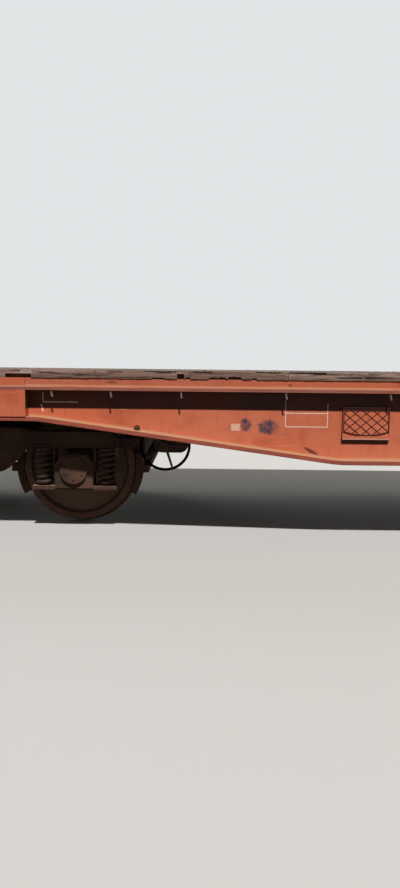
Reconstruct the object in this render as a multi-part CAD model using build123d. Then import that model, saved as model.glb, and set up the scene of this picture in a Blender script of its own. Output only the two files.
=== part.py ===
from build123d import *
from math import asin, atan2, cos, degrees, radians, sin
import os

# Bogie flat wagon, empty. Millimetres, +X along the wagon towards end b, +Z up.
# z = 0 is the lowest point of the wheel flanges, one flange height below the rail's top.

# Main sizes
pivot_distance = 14860
pivot_overhang = 1900           # bogie pivot to headstock face
buffer_reach = 620              # headstock face to buffer face
wheel_base = 1800
flange_height = 28
deck_height = 1252              # deck top above the rail
buffer_height = 1060            # buffer centres above the rail
buffer_spacing = 1750
frame_half_width = 1370         # outer edge of the side sills

deck_top = flange_height + deck_height
buffer_z = flange_height + buffer_height
pivot_x = pivot_distance / 2
headstock_x = pivot_x + pivot_overhang

# Floor: cross planks between two edge planks, steel rails across the ends
plank_thickness = 60
plank_width = 250
plank_gap = 6
plank_groove = 30               # depth to which the joints between planks are cut
edge_plank_width = 120
edge_plank_gap = 4
deck_overhang = 10              # edge planks past the side sills
end_rail_width = 80
notches = ((550, 190, 30), (1748, 52, 38))  # in the edge planks: inboard of the pivot, length, height
notch_depth = 60
deck_bottom = deck_top - plank_thickness
deck_half_width = frame_half_width + deck_overhang
deck_half_length = headstock_x - end_rail_width
floor_half_width = deck_half_width - edge_plank_width - edge_plank_gap

# Channels that carry the planks, on top of the frame
channel_height = 58
channel_width = 60
channel_wall = 8
channel_recess = 8              # the edge channel's back behind the sill's edge
stringer_y = (300, 850)
frame_top = deck_bottom - channel_height

# Side sills: plate girders, deep in the middle, shallow over the bogies
sill_flange_width = 200
sill_flange = 32
sill_web = 12
sill_depth_end = 263
sill_depth_middle = 570
sill_slope_start = 675          # inboard of the pivot
sill_slope_length = 2257
sill_bend = 1200
sill_y = frame_half_width - sill_flange_width / 2
sill_inner = sill_y - sill_web / 2
sill_outer = sill_y + sill_web / 2
sill_flange_inner = frame_half_width - sill_flange_width
sill_end_bottom = frame_top - sill_depth_end

# Flush boxes on the sills' outside at the bolsters
end_box_half = 600
end_box_plate = 8
end_box_ribs = 4

# Headstocks
headstock_plate = 16
headstock_depth = 295
headstock_flange = 12
hook_hole_half = 60
headstock_back = headstock_x - headstock_plate

# Centre sill, cross bearers and bolsters
beam_depth = 200
beam_plate = 12
bearer_width = 110
bearer_web = 10
centre_half_width = 180
centre_lip = 60
bearer_inset = 1624             # last inner bearer, inboard of the pivot
bearer_outset = 1420            # end bearer, outboard of the pivot
inner_bearers = 5               # evenly spaced from the middle to the last one
knee_bearers = 4                # those that carry knees to the deep part of the sills
knee_y = 640
knee_drop = 250
bolster_half_length = 250
bolster_depth = 177
bolster_web = 14
beam_bottom = frame_top - beam_depth
bolster_bottom = frame_top - bolster_depth
last_bearer_x = pivot_x - bearer_inset
bearer_x = [last_bearer_x * (2 * i + 1) / (2 * inner_bearers - 1) for i in range(inner_bearers)]

# Centre pivot and side bearers
pivot_drop = 32                 # bolster's underside to the seat
pivot_radius = 140
pivot_clearance = 5
cup_wall = 45
cup_rim = 13
pivot_flange_radius = 200
pivot_flange = 12
side_bearer_y = 850
side_bearer_half_width = 60
side_bearer_half_length = 110
side_bearer_pad = 25
pivot_seat = bolster_bottom - pivot_drop
side_bearer_top = bolster_bottom - side_bearer_pad

# Wheelsets
wheel_radius = 460
wheel_back = 680                # inner faces of the rims, from the wagon's middle
wheel_rim = 135
flange_thickness = 34
rim_depth = 60
flange_tip = (18, 12)           # height where its back leaves the plane, and the tip's place
hub_radius = 130
hub_proud = 20
wheel_web = 32
web_recess = 50                 # from the rims' inner faces to the web
axle_radius = 88
journal_radius = 65
journal_end = 1085
axle_z = wheel_radius + flange_height
wheel_front = wheel_back + wheel_rim

# Bogie frame
side_y = 1000                   # middle of the side frames and of the journals
side_width = 150
side_flange = 12
side_flange_proud = 15
side_top = 818
side_top_outer = 790
side_bottom = 468
side_arch = 668                 # underside over the axleboxes
side_end_reach = 350            # side frame's end past the axle
side_step = 180                 # length of the slope between the two undersides
side_margin = 51                # from that slope's upper corner to the springs
side_bend = 90
side_nose = (70, 50)            # cut off the frame's upper ends
side_top_slope = 70             # half length of the slope between the two tops
transom_half = 190
transom_flare = 90
transom_neck = 500
transom_bottom = 560
transom_top = 800
bogie_end_reach = 555           # end beam's face past the axle
bogie_end_beam = (50, 130, 12)  # width, depth and plate of the end beams
bogie_end_top = 740
horn_y = (950, 1010)
side_end = wheel_base / 2 + side_end_reach
bogie_end = wheel_base / 2 + bogie_end_reach
side_in = side_y - side_width / 2
side_out = side_y + side_width / 2
bogie_end_bottom = bogie_end_top - bogie_end_beam[1]

# Axleboxes and springs
box_half = 150
box_depth = 190
box_bottom = 345
box_top = 601
box_shoulder = 60
journal_clearance = 0.3
journal_end_gap = 2
cover_radius = 105
cover_thickness = 26
guide_plate = 12
guide_gap = 6
guide_half_width = 60
guide_bottom = 470
spring_radius = 74
spring_gap = 8                  # between spring and guide
spring_seat = 358
wing_thickness = 28
wing_margin = 11
box_in = side_y - box_depth / 2
box_out = side_y + box_depth / 2
spring_offset = box_half + guide_gap + guide_plate + spring_gap + spring_radius
side_arch_x = wheel_base / 2 - spring_offset - spring_radius - side_margin
side_deep_half = side_arch_x - side_step

# Brake blocks, beams and hangers
block_gap = 6
block_thickness = 60
block_half_angle = 20
block_sink = 8                  # degrees below the axle
block_flange_gap = 6
block_width = 85
brake_beam = (55, 60)           # length and height of the beam's section
brake_beam_z = 460
hanger_y = (605, 635)
hanger_bar = 25
hanger_set = 8                  # hanger's edge past the beam's
hanger_bracket = 100
hanger_top = 600
block_inner = wheel_radius + block_gap
block_outer = block_inner + block_thickness
block_y = wheel_back + flange_thickness + block_flange_gap

# Buffers
buffer_base = (340, 290, 20)
housing_radius = 112
housing_length = 390
collar_radius = 120
collar_length = 34
plunger_radius = 88
head_width = 450
head_height = 340
head_thickness = 34
head_radius = 245
head_dome = 2750

# Draw hook and screw coupling
hook_thickness = 50
shank_half = 38
hook_centre = (215, 14)         # from the headstock face and the buffers' height
hook_radius = 98
hook_throat = 42
hook_throat_rise = 8            # throat's middle above the hook's
hook_mouth = 72
hook_mouth_back = 6             # mouth's middle back from the throat's
hook_neck = 30                  # between the throat and the shank
hook_tail = 60                  # shank behind the headstock
guide_plate_size = (20, 190, 270)
coupling_x = 120
coupling_pin = 20
link_length = 200
link_gap = 2                    # between a link and the hook
link_plate = 16
pin_proud = 6                   # pins past the links
link_half = 26
trunnion_radius = 24
screw_radius = 22
screw_length = 190
nut_half = 30
bow_length = 160                # straight part
bow_half = 70
bow_bar = 18
tommy_bar = (9, 75)             # radius and length of the screw's handle
tommy_weight = (24, 22)         # radius and half height of the weight on its end

# Hand brake
handwheel_inset = 50            # in from the sill's flanges
handwheel_drop = 266            # below the bearers
handwheel_radius = 200
handwheel_bar = 22
handwheel_hub = 32
handwheel_hub_half = 25
handwheel_spokes = 5
spoke_bar = (12, 26)
brake_shaft = 20
shaft_bracket_inset = 140       # in from the wheels
shaft_bracket = (110, 12, 30)   # width, thickness and reach below the shaft
handwheel_y = sill_flange_inner - handwheel_inset
handwheel_z = beam_bottom - handwheel_drop
shaft_bracket_y = handwheel_y - shaft_bracket_inset

# Air brake
reservoir_radius = 150
reservoir_drop = 22
reservoir_end = 65              # past the bearers' middles
reservoir_dome = 55             # height of the domed ends
strap_width = 50
strap_thickness = 8
strap_gap = 2                   # between the strap and the bearers' knees
pipe_radius = 17
pipe_clearance = 5
cock_length = 70
cock_radius = 30
cock_reach = 90                 # from headstock to cock
cock_handle = (24, 20, 90)      # length, width and height above the pipe's middle
cylinder_radius = 160
cylinder_length = 480
cylinder_y = -380
cylinder_flange = (25, 24)
cylinder_rail = (60, 14)
cylinder_seat = 80              # in from the cylinder's ends
piston_radius = 28
piston_length = 260
lever_bar = (40, 24)
lever_reach = 40
tie_y = -150
tie_radius = 12
rod_radius = 16
rod_drop = 190
rod_eye = (80, 60)
rod_stop = 24                   # past the last bearer's middle
rod_guide = (40, 26, 12)        # length, half opening and plate
rod_guide_foot = 40             # past the centre sill
valve_y = -420
valve_radius = 80
valve_height = 250
valve_block = (110, 260, 90)
valve_flange = 12
reservoir_y = knee_y - reservoir_radius - strap_thickness - strap_gap
pipe_y = reservoir_y - reservoir_radius - strap_thickness - pipe_clearance - pipe_radius
pipe_z = beam_bottom - pipe_radius
rod_z = beam_bottom - rod_drop
cylinder_x = (bearer_x[0] + bearer_x[1]) / 2
lever_x = (cylinder_x - cylinder_length / 2 - lever_bar[0],
           cylinder_x + cylinder_length / 2 + piston_length)

# Rope hooks, label holders, container spigots
hook_inset = (791, 1230, 1752, 2531, 3306, 4056, 4806, 5555, 6305, 7055)    # inboard of the pivot
hook_outset = (810, 1330)       # outboard of the pivot
rope_hook_bar = 14
rope_hook_shank = 32            # straight part under the flange
rope_hook_bend = (20, 32)       # bent part, along the wagon and down
rope_hook_edge = 13             # in from the sill's edge
label_inset = 3147              # inboard of the pivot
label_width = 355
label_drop = 384                # frame's top to the holder's underside
label_height = 244
label_depth = (20, 27)          # at the top and at the tray
label_cheek = 3
label_flange = 14               # cheeks' flanges along the web
label_tray = 26
label_plate = 3
label_wire = 4
label_border = 7
label_diamond = (82, 66)
label_rim = (60, 30)            # rim's height at the cheeks and in the middle
label_bottom = frame_top - label_drop
spigot_pins = (5853, 11985)     # between the pins of a 20 foot and a 40 foot container
spigot_margin = 227.5           # last pins to the deck's end
spigot_inset = 40.5             # in from the sill's flange
spigot_pocket = (300, 230)
spigot_clearance = 3
spigot_tray = 14
spigot_plates = (               # low and high x, half width, bottom and top above the edge channel
    (-110, 60, 80, spigot_tray, 34),
    (-125, -95, 95, spigot_tray, 46),
    (-40, 50, 28, 34, 54),
)
spigot_y = sill_flange_inner - spigot_inset

# Steps and grab rails at the corners
step_inset = 250                # from the headstock face
step_half = 160
step_drop = 399
step_tread = (170, 12)
step_leg = (16, 50)
step_out = 65                   # tread's edge past the legs
grab_bar = 24
grab_foot = 12                  # plates that carry the bar
grab_reach = 82
grab_drop = 40
grab_lap = 60
grab_margin = (33, 40)          # from the buffer's base and from the sill's edge

# End flaps
flap_height = 500
flap_margin = 130               # in from the deck's edge
flap_plate = 6
flap_rib = (36, 60)
flap_cross_ribs = 5
flap_rise = 6                   # clear of the end rail
hinge_count = 3
hinge_margin = 250              # in from the flap's side
hinge_pin = 12
hinge_clearance = 0.3
hinge_reach = 28                # pin's middle out from the headstock face
hinge_drop = 10                 # and below the deck's top
knuckle_radius = 22
knuckle_half = 30
lug_gap = 3
lug_plate = 14
lug_top = 14
flap_half_width = deck_half_width - flap_margin
hinge_x = headstock_x + hinge_reach
hinge_z = deck_top - hinge_drop
hinge_span = 2 * (flap_half_width - hinge_margin)
hinge_y = [hinge_span * (i / (hinge_count - 1) - 0.5) for i in range(hinge_count)]


def block(x0, x1, y0, y1, z0, z1):
    """A box from its low and high corners."""
    return Pos((x0 + x1) / 2, (y0 + y1) / 2, (z0 + z1) / 2) * Box(x1 - x0, y1 - y0, z1 - z0)


def outline(*points):
    """A flat face with straight edges."""
    return make_face(Polyline(*points, close=True))


def prism_y(face, y0, y1):
    """A face drawn in X and Z, drawn out from y0 to y1."""
    return extrude(Plane.XZ.offset(-y0) * face, amount=y0 - y1)


def prism_x(face, x0, x1):
    """A face drawn in Y and Z, drawn out from x0 to x1."""
    return extrude(Plane.YZ.offset(x0) * face, amount=x1 - x0)


def bar_x(radius, x0, x1, y, z):
    """A round bar along X."""
    return Pos((x0 + x1) / 2, y, z) * Rot(0, 90, 0) * Cylinder(radius, x1 - x0)


def bar_y(radius, y0, y1, x, z):
    """A round bar along Y."""
    return Pos(x, (y0 + y1) / 2, z) * Rot(90, 0, 0) * Cylinder(radius, y1 - y0)


def bar_z(radius, z0, z1, x, y):
    """A round bar along Z."""
    return Pos(x, y, (z0 + z1) / 2) * Cylinder(radius, z1 - z0)


def both_ends(shapes):
    """Shapes at the +X end and their copies at the other end."""
    return [part for shape in shapes for part in (shape, mirror(shape, Plane.YZ))]


def both_sides(shapes):
    """Shapes at the +Y side and their copies at the other side."""
    return [part for shape in shapes for part in (shape, mirror(shape, Plane.XZ))]


def turned(shape):
    """The same shape at the wagon's other end, turned half round."""
    return Rot(0, 0, 180) * shape


# Side sills

def side_sill():
    """Fish-belly plate girder: a band of flange plate round the outline, and a thin web inside it."""
    outer_x = pivot_x - sill_slope_start
    inner_x = outer_x - sill_slope_length
    low = frame_top - sill_depth_middle
    lower = FilletPolyline(
        (-headstock_back, sill_end_bottom), (-outer_x, sill_end_bottom), (-inner_x, low),
        (inner_x, low), (outer_x, sill_end_bottom), (headstock_back, sill_end_bottom),
        radius=sill_bend,
    )
    upper = Polyline(
        (headstock_back, sill_end_bottom), (headstock_back, frame_top),
        (-headstock_back, frame_top), (-headstock_back, sill_end_bottom),
    )
    girder = make_face(lower + upper)
    panel = offset(girder, -sill_flange, kind=Kind.INTERSECTION)
    flanges = prism_y(girder - panel, sill_flange_inner, frame_half_width)
    return flanges + prism_y(panel, sill_inner, sill_outer)


def end_box():
    """Flush plate over the sill's outside at the +X bolster, on ribs between the sill's flanges."""
    low = sill_end_bottom + sill_flange
    box = block(-end_box_half, end_box_half, frame_half_width, frame_half_width + end_box_plate,
                low, deck_bottom)
    pitch = 2 * (end_box_half - end_box_plate) / (end_box_ribs - 1)
    for i in range(end_box_ribs):
        x = -end_box_half + end_box_plate + i * pitch
        box += block(x - end_box_plate, x + end_box_plate, sill_outer, frame_half_width,
                     low, frame_top - sill_flange)
    return Pos(pivot_x, 0, 0) * box


# Floor carriers

def channel(y, side):
    """A channel along the wagon with its back at y, its flanges towards the side given by the sign."""
    back, wall = side * channel_wall, channel_wall
    section = outline(
        (y, frame_top), (y + side * channel_width, frame_top),
        (y + side * channel_width, frame_top + wall), (y + back, frame_top + wall),
        (y + back, deck_bottom - wall), (y + side * channel_width, deck_bottom - wall),
        (y + side * channel_width, deck_bottom), (y, deck_bottom),
    )
    return section


# Underframe

def centre_sill(x0, x1):
    """Box beam, open below between two lips."""
    half, lip, plate = centre_half_width, centre_lip, beam_plate
    right = [
        (half - lip, beam_bottom), (half, beam_bottom), (half, frame_top), (-half, frame_top),
        (-half, beam_bottom), (lip - half, beam_bottom), (lip - half, beam_bottom + plate),
        (plate - half, beam_bottom + plate), (plate - half, frame_top - plate),
        (half - plate, frame_top - plate), (half - plate, beam_bottom + plate),
        (half - lip, beam_bottom + plate),
    ]
    return prism_x(outline(*right), x0, x1)


def beam_corner(inner):
    """The upper corners of a cross beam that fits under the side sill's top flange."""
    return [
        (inner, frame_top), (sill_flange_inner, frame_top),
        (sill_flange_inner, frame_top - sill_flange), (sill_inner, frame_top - sill_flange),
    ]


def cross_bearer(x, knee):
    """Half a cross bearer on the +Y side, with a knee where the sill is deep."""
    drop = knee_drop if knee else 0
    lower = [(sill_inner, beam_bottom - drop), (knee_y, beam_bottom), (centre_half_width, beam_bottom)]
    web = outline(*beam_corner(centre_half_width), *lower)
    flange = outline(*lower, *[(y, z + beam_plate) for y, z in reversed(lower)])
    beam = prism_x(web, x - bearer_web / 2, x + bearer_web / 2)
    beam += prism_x(flange, x - bearer_width / 2, x + bearer_width / 2)
    beam += block(x - bearer_width / 2, x + bearer_width / 2, centre_half_width, sill_flange_inner,
                  frame_top - beam_plate, frame_top)
    return beam


def bolster():
    """Body bolster at the +X end: a box across the wagon with the upper pivot and side-bearer pads."""
    half = bolster_half_length
    side = outline(*beam_corner(0), (sill_inner, bolster_bottom), (0, bolster_bottom))
    web = prism_x(side, half - bolster_web, half)
    box = web + mirror(web, Plane.YZ)
    box += block(-half, half, 0, sill_flange_inner, frame_top - beam_plate, frame_top)
    box += block(-half, half, 0, sill_inner, bolster_bottom, bolster_bottom + beam_plate)
    box += block(-side_bearer_half_length, side_bearer_half_length,
                 side_bearer_y - side_bearer_half_width, side_bearer_y + side_bearer_half_width,
                 side_bearer_top, bolster_bottom)
    box += mirror(box, Plane.XZ)
    flange_bottom = bolster_bottom - pivot_flange
    box += bar_z(pivot_flange_radius, flange_bottom, bolster_bottom, 0, 0)
    box += bar_z(pivot_radius, pivot_seat, flange_bottom, 0, 0)
    return Pos(pivot_x, 0, 0) * box


def headstock():
    """End beam: a plate with flanges behind, cut for the draw hook and the brake pipe."""
    bottom = deck_bottom - headstock_depth
    beam = block(headstock_back, headstock_x, -frame_half_width, frame_half_width, bottom, deck_bottom)
    for z in (bottom, deck_bottom - headstock_flange):
        beam += block(deck_half_length, headstock_back, -sill_flange_inner, sill_flange_inner,
                      z, z + headstock_flange)
    beam -= block(headstock_back, headstock_x, -hook_hole_half, hook_hole_half,
                  buffer_z - hook_hole_half, buffer_z + hook_hole_half)
    pipe_half = pipe_radius + pipe_clearance
    beam -= block(deck_half_length, headstock_x, pipe_y - pipe_half, pipe_y + pipe_half,
                  bottom, pipe_z + pipe_half)
    return beam


# Floor

def spigot_places():
    """Distances of the container spigots from the wagon's middle."""
    short, long = spigot_pins
    outer = deck_half_length - spigot_margin
    return [outer, outer - short, long / 2]


def deck():
    """The cross planks as one solid, grooved at each joint, with pockets for the spigots."""
    count = round(2 * deck_half_length / plank_width)
    pitch = 2 * deck_half_length / count
    top = [(-deck_half_length, deck_top)]
    for i in range(1, count):
        x = i * pitch - deck_half_length
        top += [(x - plank_gap / 2, deck_top), (x - plank_gap / 2, deck_top - plank_groove),
                (x + plank_gap / 2, deck_top - plank_groove), (x + plank_gap / 2, deck_top)]
    top.append((deck_half_length, deck_top))
    side = outline(*top, (deck_half_length, deck_bottom), (-deck_half_length, deck_bottom))
    floor = prism_y(side, -floor_half_width, floor_half_width)
    length, width = spigot_pocket
    pockets = [
        block(x - length / 2, x + length / 2, spigot_y - width / 2, spigot_y + width / 2,
              deck_bottom, deck_top)
        for x in spigot_places()
    ]
    return floor - both_sides(both_ends(pockets))


def edge_plank():
    plank = block(-deck_half_length, deck_half_length, deck_half_width - edge_plank_width,
                  deck_half_width, deck_bottom, deck_top)
    for inset, length, height in notches:
        x = pivot_x - inset
        notch = block(x - length / 2, x + length / 2, deck_half_width - notch_depth, deck_half_width,
                      deck_bottom, deck_bottom + height)
        plank -= both_ends([notch])
    return plank


def end_rail():
    """Steel rail across the deck's end, with the flap hinges' lugs and pins."""
    rail = block(deck_half_length, headstock_x, -deck_half_width, deck_half_width, deck_bottom, deck_top)
    inner = knuckle_half + lug_gap
    for y in hinge_y:
        for low in (y - inner - lug_plate, y + inner):
            rail += block(headstock_x, hinge_x + knuckle_radius, low, low + lug_plate,
                          hinge_z - knuckle_radius, hinge_z + lug_top)
        rail += bar_y(hinge_pin, y - inner, y + inner, hinge_x, hinge_z)
    return rail


def end_flap():
    """Drop flap, upright on the +X end: ribbed plate on knuckles outboard of the headstock."""
    bottom = deck_top + flap_rise
    top = bottom + flap_height
    front = headstock_x - flap_rise
    back = front - flap_plate
    depth, width = flap_rib
    flap = block(back, front, -flap_half_width, flap_half_width, bottom, top)
    for z in (bottom, top - width):
        flap += block(back - depth, back, -flap_half_width, flap_half_width, z, z + width)
    pitch = (2 * flap_half_width - width) / (flap_cross_ribs - 1)
    for i in range(flap_cross_ribs):
        y = i * pitch - flap_half_width
        flap += block(back - depth, back, y, y + width, bottom, top)
    for y in hinge_y:
        flap += block(front, hinge_x + knuckle_radius, y - knuckle_half, y + knuckle_half,
                      bottom, bottom + 2 * knuckle_radius)
        flap += block(hinge_x - knuckle_radius, hinge_x + knuckle_radius, y - knuckle_half,
                      y + knuckle_half, hinge_z, bottom)
        flap += bar_y(knuckle_radius, y - knuckle_half, y + knuckle_half, hinge_x, hinge_z)
        flap -= bar_y(hinge_pin + hinge_clearance, y - knuckle_half, y + knuckle_half, hinge_x, hinge_z)
    return flap


# Buffers, on the +X, +Y corner

def buffer_housing():
    width, height, thickness = buffer_base
    housing = block(0, thickness, -width / 2, width / 2, -height / 2, height / 2)
    housing += bar_x(housing_radius, thickness, housing_length, 0, 0)
    housing += bar_x(collar_radius, housing_length - collar_length, housing_length, 0, 0)
    return Pos(headstock_x, buffer_spacing / 2, buffer_z) * housing


def buffer_head():
    """Plunger and its domed head, a disc cut flat above, below and at the sides."""
    face = Circle(head_radius) & Rectangle(head_width, head_height)
    head = prism_x(face, buffer_reach - head_thickness, buffer_reach)
    head &= Pos(buffer_reach - head_dome, 0, 0) * Sphere(head_dome)
    stem = bar_x(plunger_radius, housing_length, buffer_reach - head_thickness, 0, 0)
    return Pos(headstock_x, buffer_spacing / 2, buffer_z) * (head + stem)


# Draw gear, at the +X end

def draw_hook():
    """Hook plate with an open throat, its shank through the headstock, and the plate it slides in."""
    x, z = hook_centre
    throat_z = z + hook_throat_rise
    profile = Pos(x, z) * Circle(hook_radius)
    profile -= Pos(x, throat_z) * Circle(hook_throat)
    profile -= Pos(x - hook_mouth_back, throat_z + hook_radius / 2) * Rectangle(hook_mouth, hook_radius)
    shank_start = -headstock_plate - hook_tail
    shank_end = x - hook_throat - hook_neck
    profile += Pos((shank_start + shank_end) / 2, 0) * Rectangle(shank_end - shank_start, 2 * shank_half)
    hook = prism_y(profile, -hook_thickness / 2, hook_thickness / 2)
    thickness, width, height = guide_plate_size
    plate = block(0, thickness, -width / 2, width / 2, -height / 2, height / 2)
    return Pos(headstock_x, 0, buffer_z) * (hook + plate)


def screw_coupling():
    """Links, screw with its weighted handle, and bow, hanging from the hook's pin."""
    side = hook_thickness / 2
    low = -link_length
    nut = low - screw_length
    end = side + link_gap + link_plate + pin_proud
    links = bar_y(coupling_pin, side, end, 0, 0)
    links += block(-link_half, link_half, side + link_gap, side + link_gap + link_plate, low, link_half)
    parts = links + mirror(links, Plane.XZ)
    parts += bar_y(trunnion_radius, -end, end, 0, low)
    parts += bar_z(screw_radius, nut, low, 0, 0)
    handle_radius, handle = tommy_bar
    weight_radius, weight = tommy_weight
    middle = (nut + low) / 2
    parts += bar_y(handle_radius, -handle, 0, 0, middle)
    parts += bar_z(weight_radius, middle - weight, middle + weight, 0, -handle)
    parts += block(-nut_half, nut_half, -side, side, low - nut_half, low + nut_half)
    parts += block(-nut_half, nut_half, -bow_half, bow_half, nut - nut_half, nut + nut_half)
    top = (Align.CENTER, Align.MAX)
    bend = Pos(0, -bow_length)
    bow = Rectangle(2 * (bow_half + bow_bar), bow_length, align=top) + bend * Circle(bow_half + bow_bar)
    bow -= Rectangle(2 * (bow_half - bow_bar), bow_length, align=top) + bend * Circle(bow_half - bow_bar)
    parts += prism_x(Pos(0, nut) * bow, -bow_bar, bow_bar)
    return Pos(headstock_x + coupling_x, 0, buffer_z) * parts


# Small fittings on the sills and in the floor

def rope_hook(x):
    """Bar under the edge of the sill's top flange, bent towards the wagon's middle."""
    y = frame_half_width - rope_hook_edge
    top = frame_top - sill_flange
    bend = top - rope_hook_shank
    along, down = rope_hook_bend
    half = rope_hook_bar / 2
    bar = outline(
        (x + half, top), (x - half, top), (x - half, bend), (x - half - along, bend - down),
        (x + half - along, bend - down), (x + half, bend),
    )
    return prism_y(bar, y - half, y + half)


def label_holder():
    """Two sloping cheeks on the sill's web and the tray between them, which hold a paper label."""
    top_depth, low_depth = label_depth
    half = label_width / 2
    cheek_face = outline((0, 0), (low_depth, 0), (low_depth, label_tray), (top_depth, label_height),
                         (0, label_height))
    cheek = prism_x(cheek_face, half - label_cheek, half)
    cheek += block(half, half + label_flange, 0, label_plate, 0, label_height)
    lip = low_depth - label_plate
    tray_face = outline((0, 0), (low_depth, 0), (low_depth, label_tray), (lip, label_tray),
                        (lip, label_plate), (0, label_plate))
    tray = prism_x(tray_face, label_cheek - half, half - label_cheek)
    place = Pos(pivot_x - label_inset, sill_outer, label_bottom)
    return [place * part for part in (cheek, mirror(cheek, Plane.YZ), tray)]


def label_grille():
    """The holder's front: diamond mesh in a wire border that sags below, sloping between the cheeks."""
    top_depth, low_depth = label_depth
    half = label_width / 2 - label_cheek
    side, middle = label_rim
    sides = Polyline((-half, side), (-half, label_height), (half, label_height), (half, side))
    panel = make_face(sides + ThreePointArc((half, side), (0, middle), (-half, side)))
    width, height = label_diamond
    angle = degrees(atan2(height, width))
    count = round(label_width / width + label_height / height) // 2 + 1
    wire = Rectangle(2 * label_width, label_wire)
    face = panel - offset(panel, -label_border)
    for i in range(-count, count + 1):
        for turn in (angle, -angle):
            face += panel & Pos(i * width, label_height / 2) * Rot(0, 0, turn) * wire
    grille = Pos(0, 0, -label_height) * extrude(Plane.XZ * face, amount=label_wire)
    slope = degrees(atan2(low_depth - top_depth, label_height - label_tray))
    grille = Pos(0, top_depth, label_height) * Rot(slope, 0, 0) * grille
    return Pos(pivot_x - label_inset, sill_outer, label_bottom) * grille


def container_spigot(x):
    """A spigot folded flat in its tray below the deck's top, on a foot that stands on the sill."""
    length, width = spigot_pocket
    half_x = length / 2 - spigot_clearance
    half_y = width / 2 - spigot_clearance
    spigot = block(-half_x, half_x, -half_y, half_y, 0, spigot_tray)
    for x0, x1, half, low, high in spigot_plates:
        spigot += block(x0, x1, -half, half, low, high)
    foot = sill_flange_inner - spigot_y + spigot_clearance
    spigot += block(-half_x, half_x, foot, half_y, frame_top - deck_bottom, 0)
    return Pos(x, spigot_y, deck_bottom) * spigot


def corner_step():
    """Foot step under the sill at the +X, +Y corner."""
    x = headstock_x - step_inset
    low = sill_end_bottom - step_drop
    depth, plate = step_tread
    thickness, width = step_leg
    edge_y = sill_y + width / 2 + step_out
    step = block(x - step_half, x + step_half, edge_y - depth, edge_y, low, low + plate)
    for edge in (x - step_half, x + step_half - thickness):
        step += block(edge, edge + thickness, sill_y, sill_y + width, low + plate, sill_end_bottom)
    return step


def grab_rail():
    """Hand rail under the headstock's end, at the +X, +Y corner."""
    low = deck_bottom - headstock_depth
    z = low - grab_drop
    y0 = buffer_spacing / 2 + buffer_base[0] / 2 + grab_margin[0]
    y1 = frame_half_width - grab_margin[1]
    out = headstock_x + grab_reach
    half = grab_bar / 2
    rail = bar_y(half, y0, y1, out - half, z)
    for y in (y0, y1 - grab_foot):
        rail += block(headstock_x, out - half, y, y + grab_foot, z - half, low + grab_lap)
    return rail


# Hand brake

def handwheel():
    """Wheel on the +Y end of the cross shaft, beside the bogie at end a."""
    middle = handwheel_radius - handwheel_bar / 2
    wheel = revolve(Pos(middle, 0) * Rectangle(handwheel_bar, handwheel_bar), Axis.Y)
    wheel += bar_y(handwheel_hub, -handwheel_hub_half, handwheel_hub_half, 0, 0)
    thickness, width = spoke_bar
    for i in range(handwheel_spokes):
        spoke = Pos(middle / 2, 0, 0) * Box(middle, thickness, width)
        wheel += Rot(0, i * 360 / handwheel_spokes, 0) * spoke
    wheel -= bar_y(brake_shaft, -handwheel_hub_half, handwheel_hub_half, 0, 0)
    return Pos(-last_bearer_x, handwheel_y, handwheel_z) * wheel


def handbrake_shaft():
    """Shaft across the wagon under the last bearer, in two hanging brackets."""
    end = handwheel_y + handwheel_hub_half
    shaft = bar_y(brake_shaft, -end, end, -last_bearer_x, handwheel_z)
    width, thickness, reach = shaft_bracket
    for y in (-shaft_bracket_y, shaft_bracket_y):
        shaft += block(-last_bearer_x - width / 2, -last_bearer_x + width / 2, y - thickness / 2,
                       y + thickness / 2, handwheel_z - reach, beam_bottom)
    return shaft


# Air brake

def air_reservoir():
    """Tank with domed ends between two bearers at end a, hung in straps."""
    x0, x1 = -bearer_x[2] - reservoir_end, -bearer_x[1] + reservoir_end
    z = beam_bottom - reservoir_drop - reservoir_radius
    half_length = (x1 - x0) / 2
    ball = (reservoir_radius ** 2 + reservoir_dome ** 2) / (2 * reservoir_dome)
    spread = degrees(asin(reservoir_radius / ball))
    dome = CenterArc((half_length + reservoir_dome - ball, 0), ball, 0, spread)
    section = make_face(Polyline(dome @ 1, (0, reservoir_radius), (0, 0), dome @ 0) + dome)
    half_tank = revolve(section, Axis.X)
    tank = Pos((x0 + x1) / 2, reservoir_y, z) * (half_tank + mirror(half_tank, Plane.YZ))
    half = reservoir_radius + strap_thickness
    for bearer in (bearer_x[1], bearer_x[2]):
        tank += block(-bearer - strap_width / 2, -bearer + strap_width / 2, reservoir_y - half,
                      reservoir_y + half, z, beam_bottom)
    return tank


def brake_cylinder():
    """Cylinder on two rails between the middle bearers, its piston rod towards end b."""
    z = rod_z
    x0, x1 = cylinder_x - cylinder_length / 2, cylinder_x + cylinder_length / 2
    proud, thickness = cylinder_flange
    body = bar_x(cylinder_radius, x0, x1, cylinder_y, z)
    body += bar_x(cylinder_radius + proud, x1 - thickness, x1, cylinder_y, z)
    body += bar_x(piston_radius, x1, x1 + piston_length, cylinder_y, z)
    half, rail = cylinder_rail
    body += block(bearer_x[0] - bearer_width / 2, bearer_x[1] + bearer_width / 2, cylinder_y - half,
                  cylinder_y + half, beam_bottom - rail, beam_bottom)
    body += block(x0 + cylinder_seat, x1 - cylinder_seat, cylinder_y - half, cylinder_y + half,
                  z, beam_bottom - rail)
    return body


def brake_levers():
    """Two cross levers at the cylinder's ends and the tie between them."""
    length, height = lever_bar
    levers = bar_x(tie_radius, lever_x[0] + length, lever_x[1], tie_y, rod_z)
    for x in lever_x:
        levers += block(x, x + length, cylinder_y - lever_reach, lever_reach,
                        rod_z - height / 2, rod_z + height / 2)
    return levers


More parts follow.
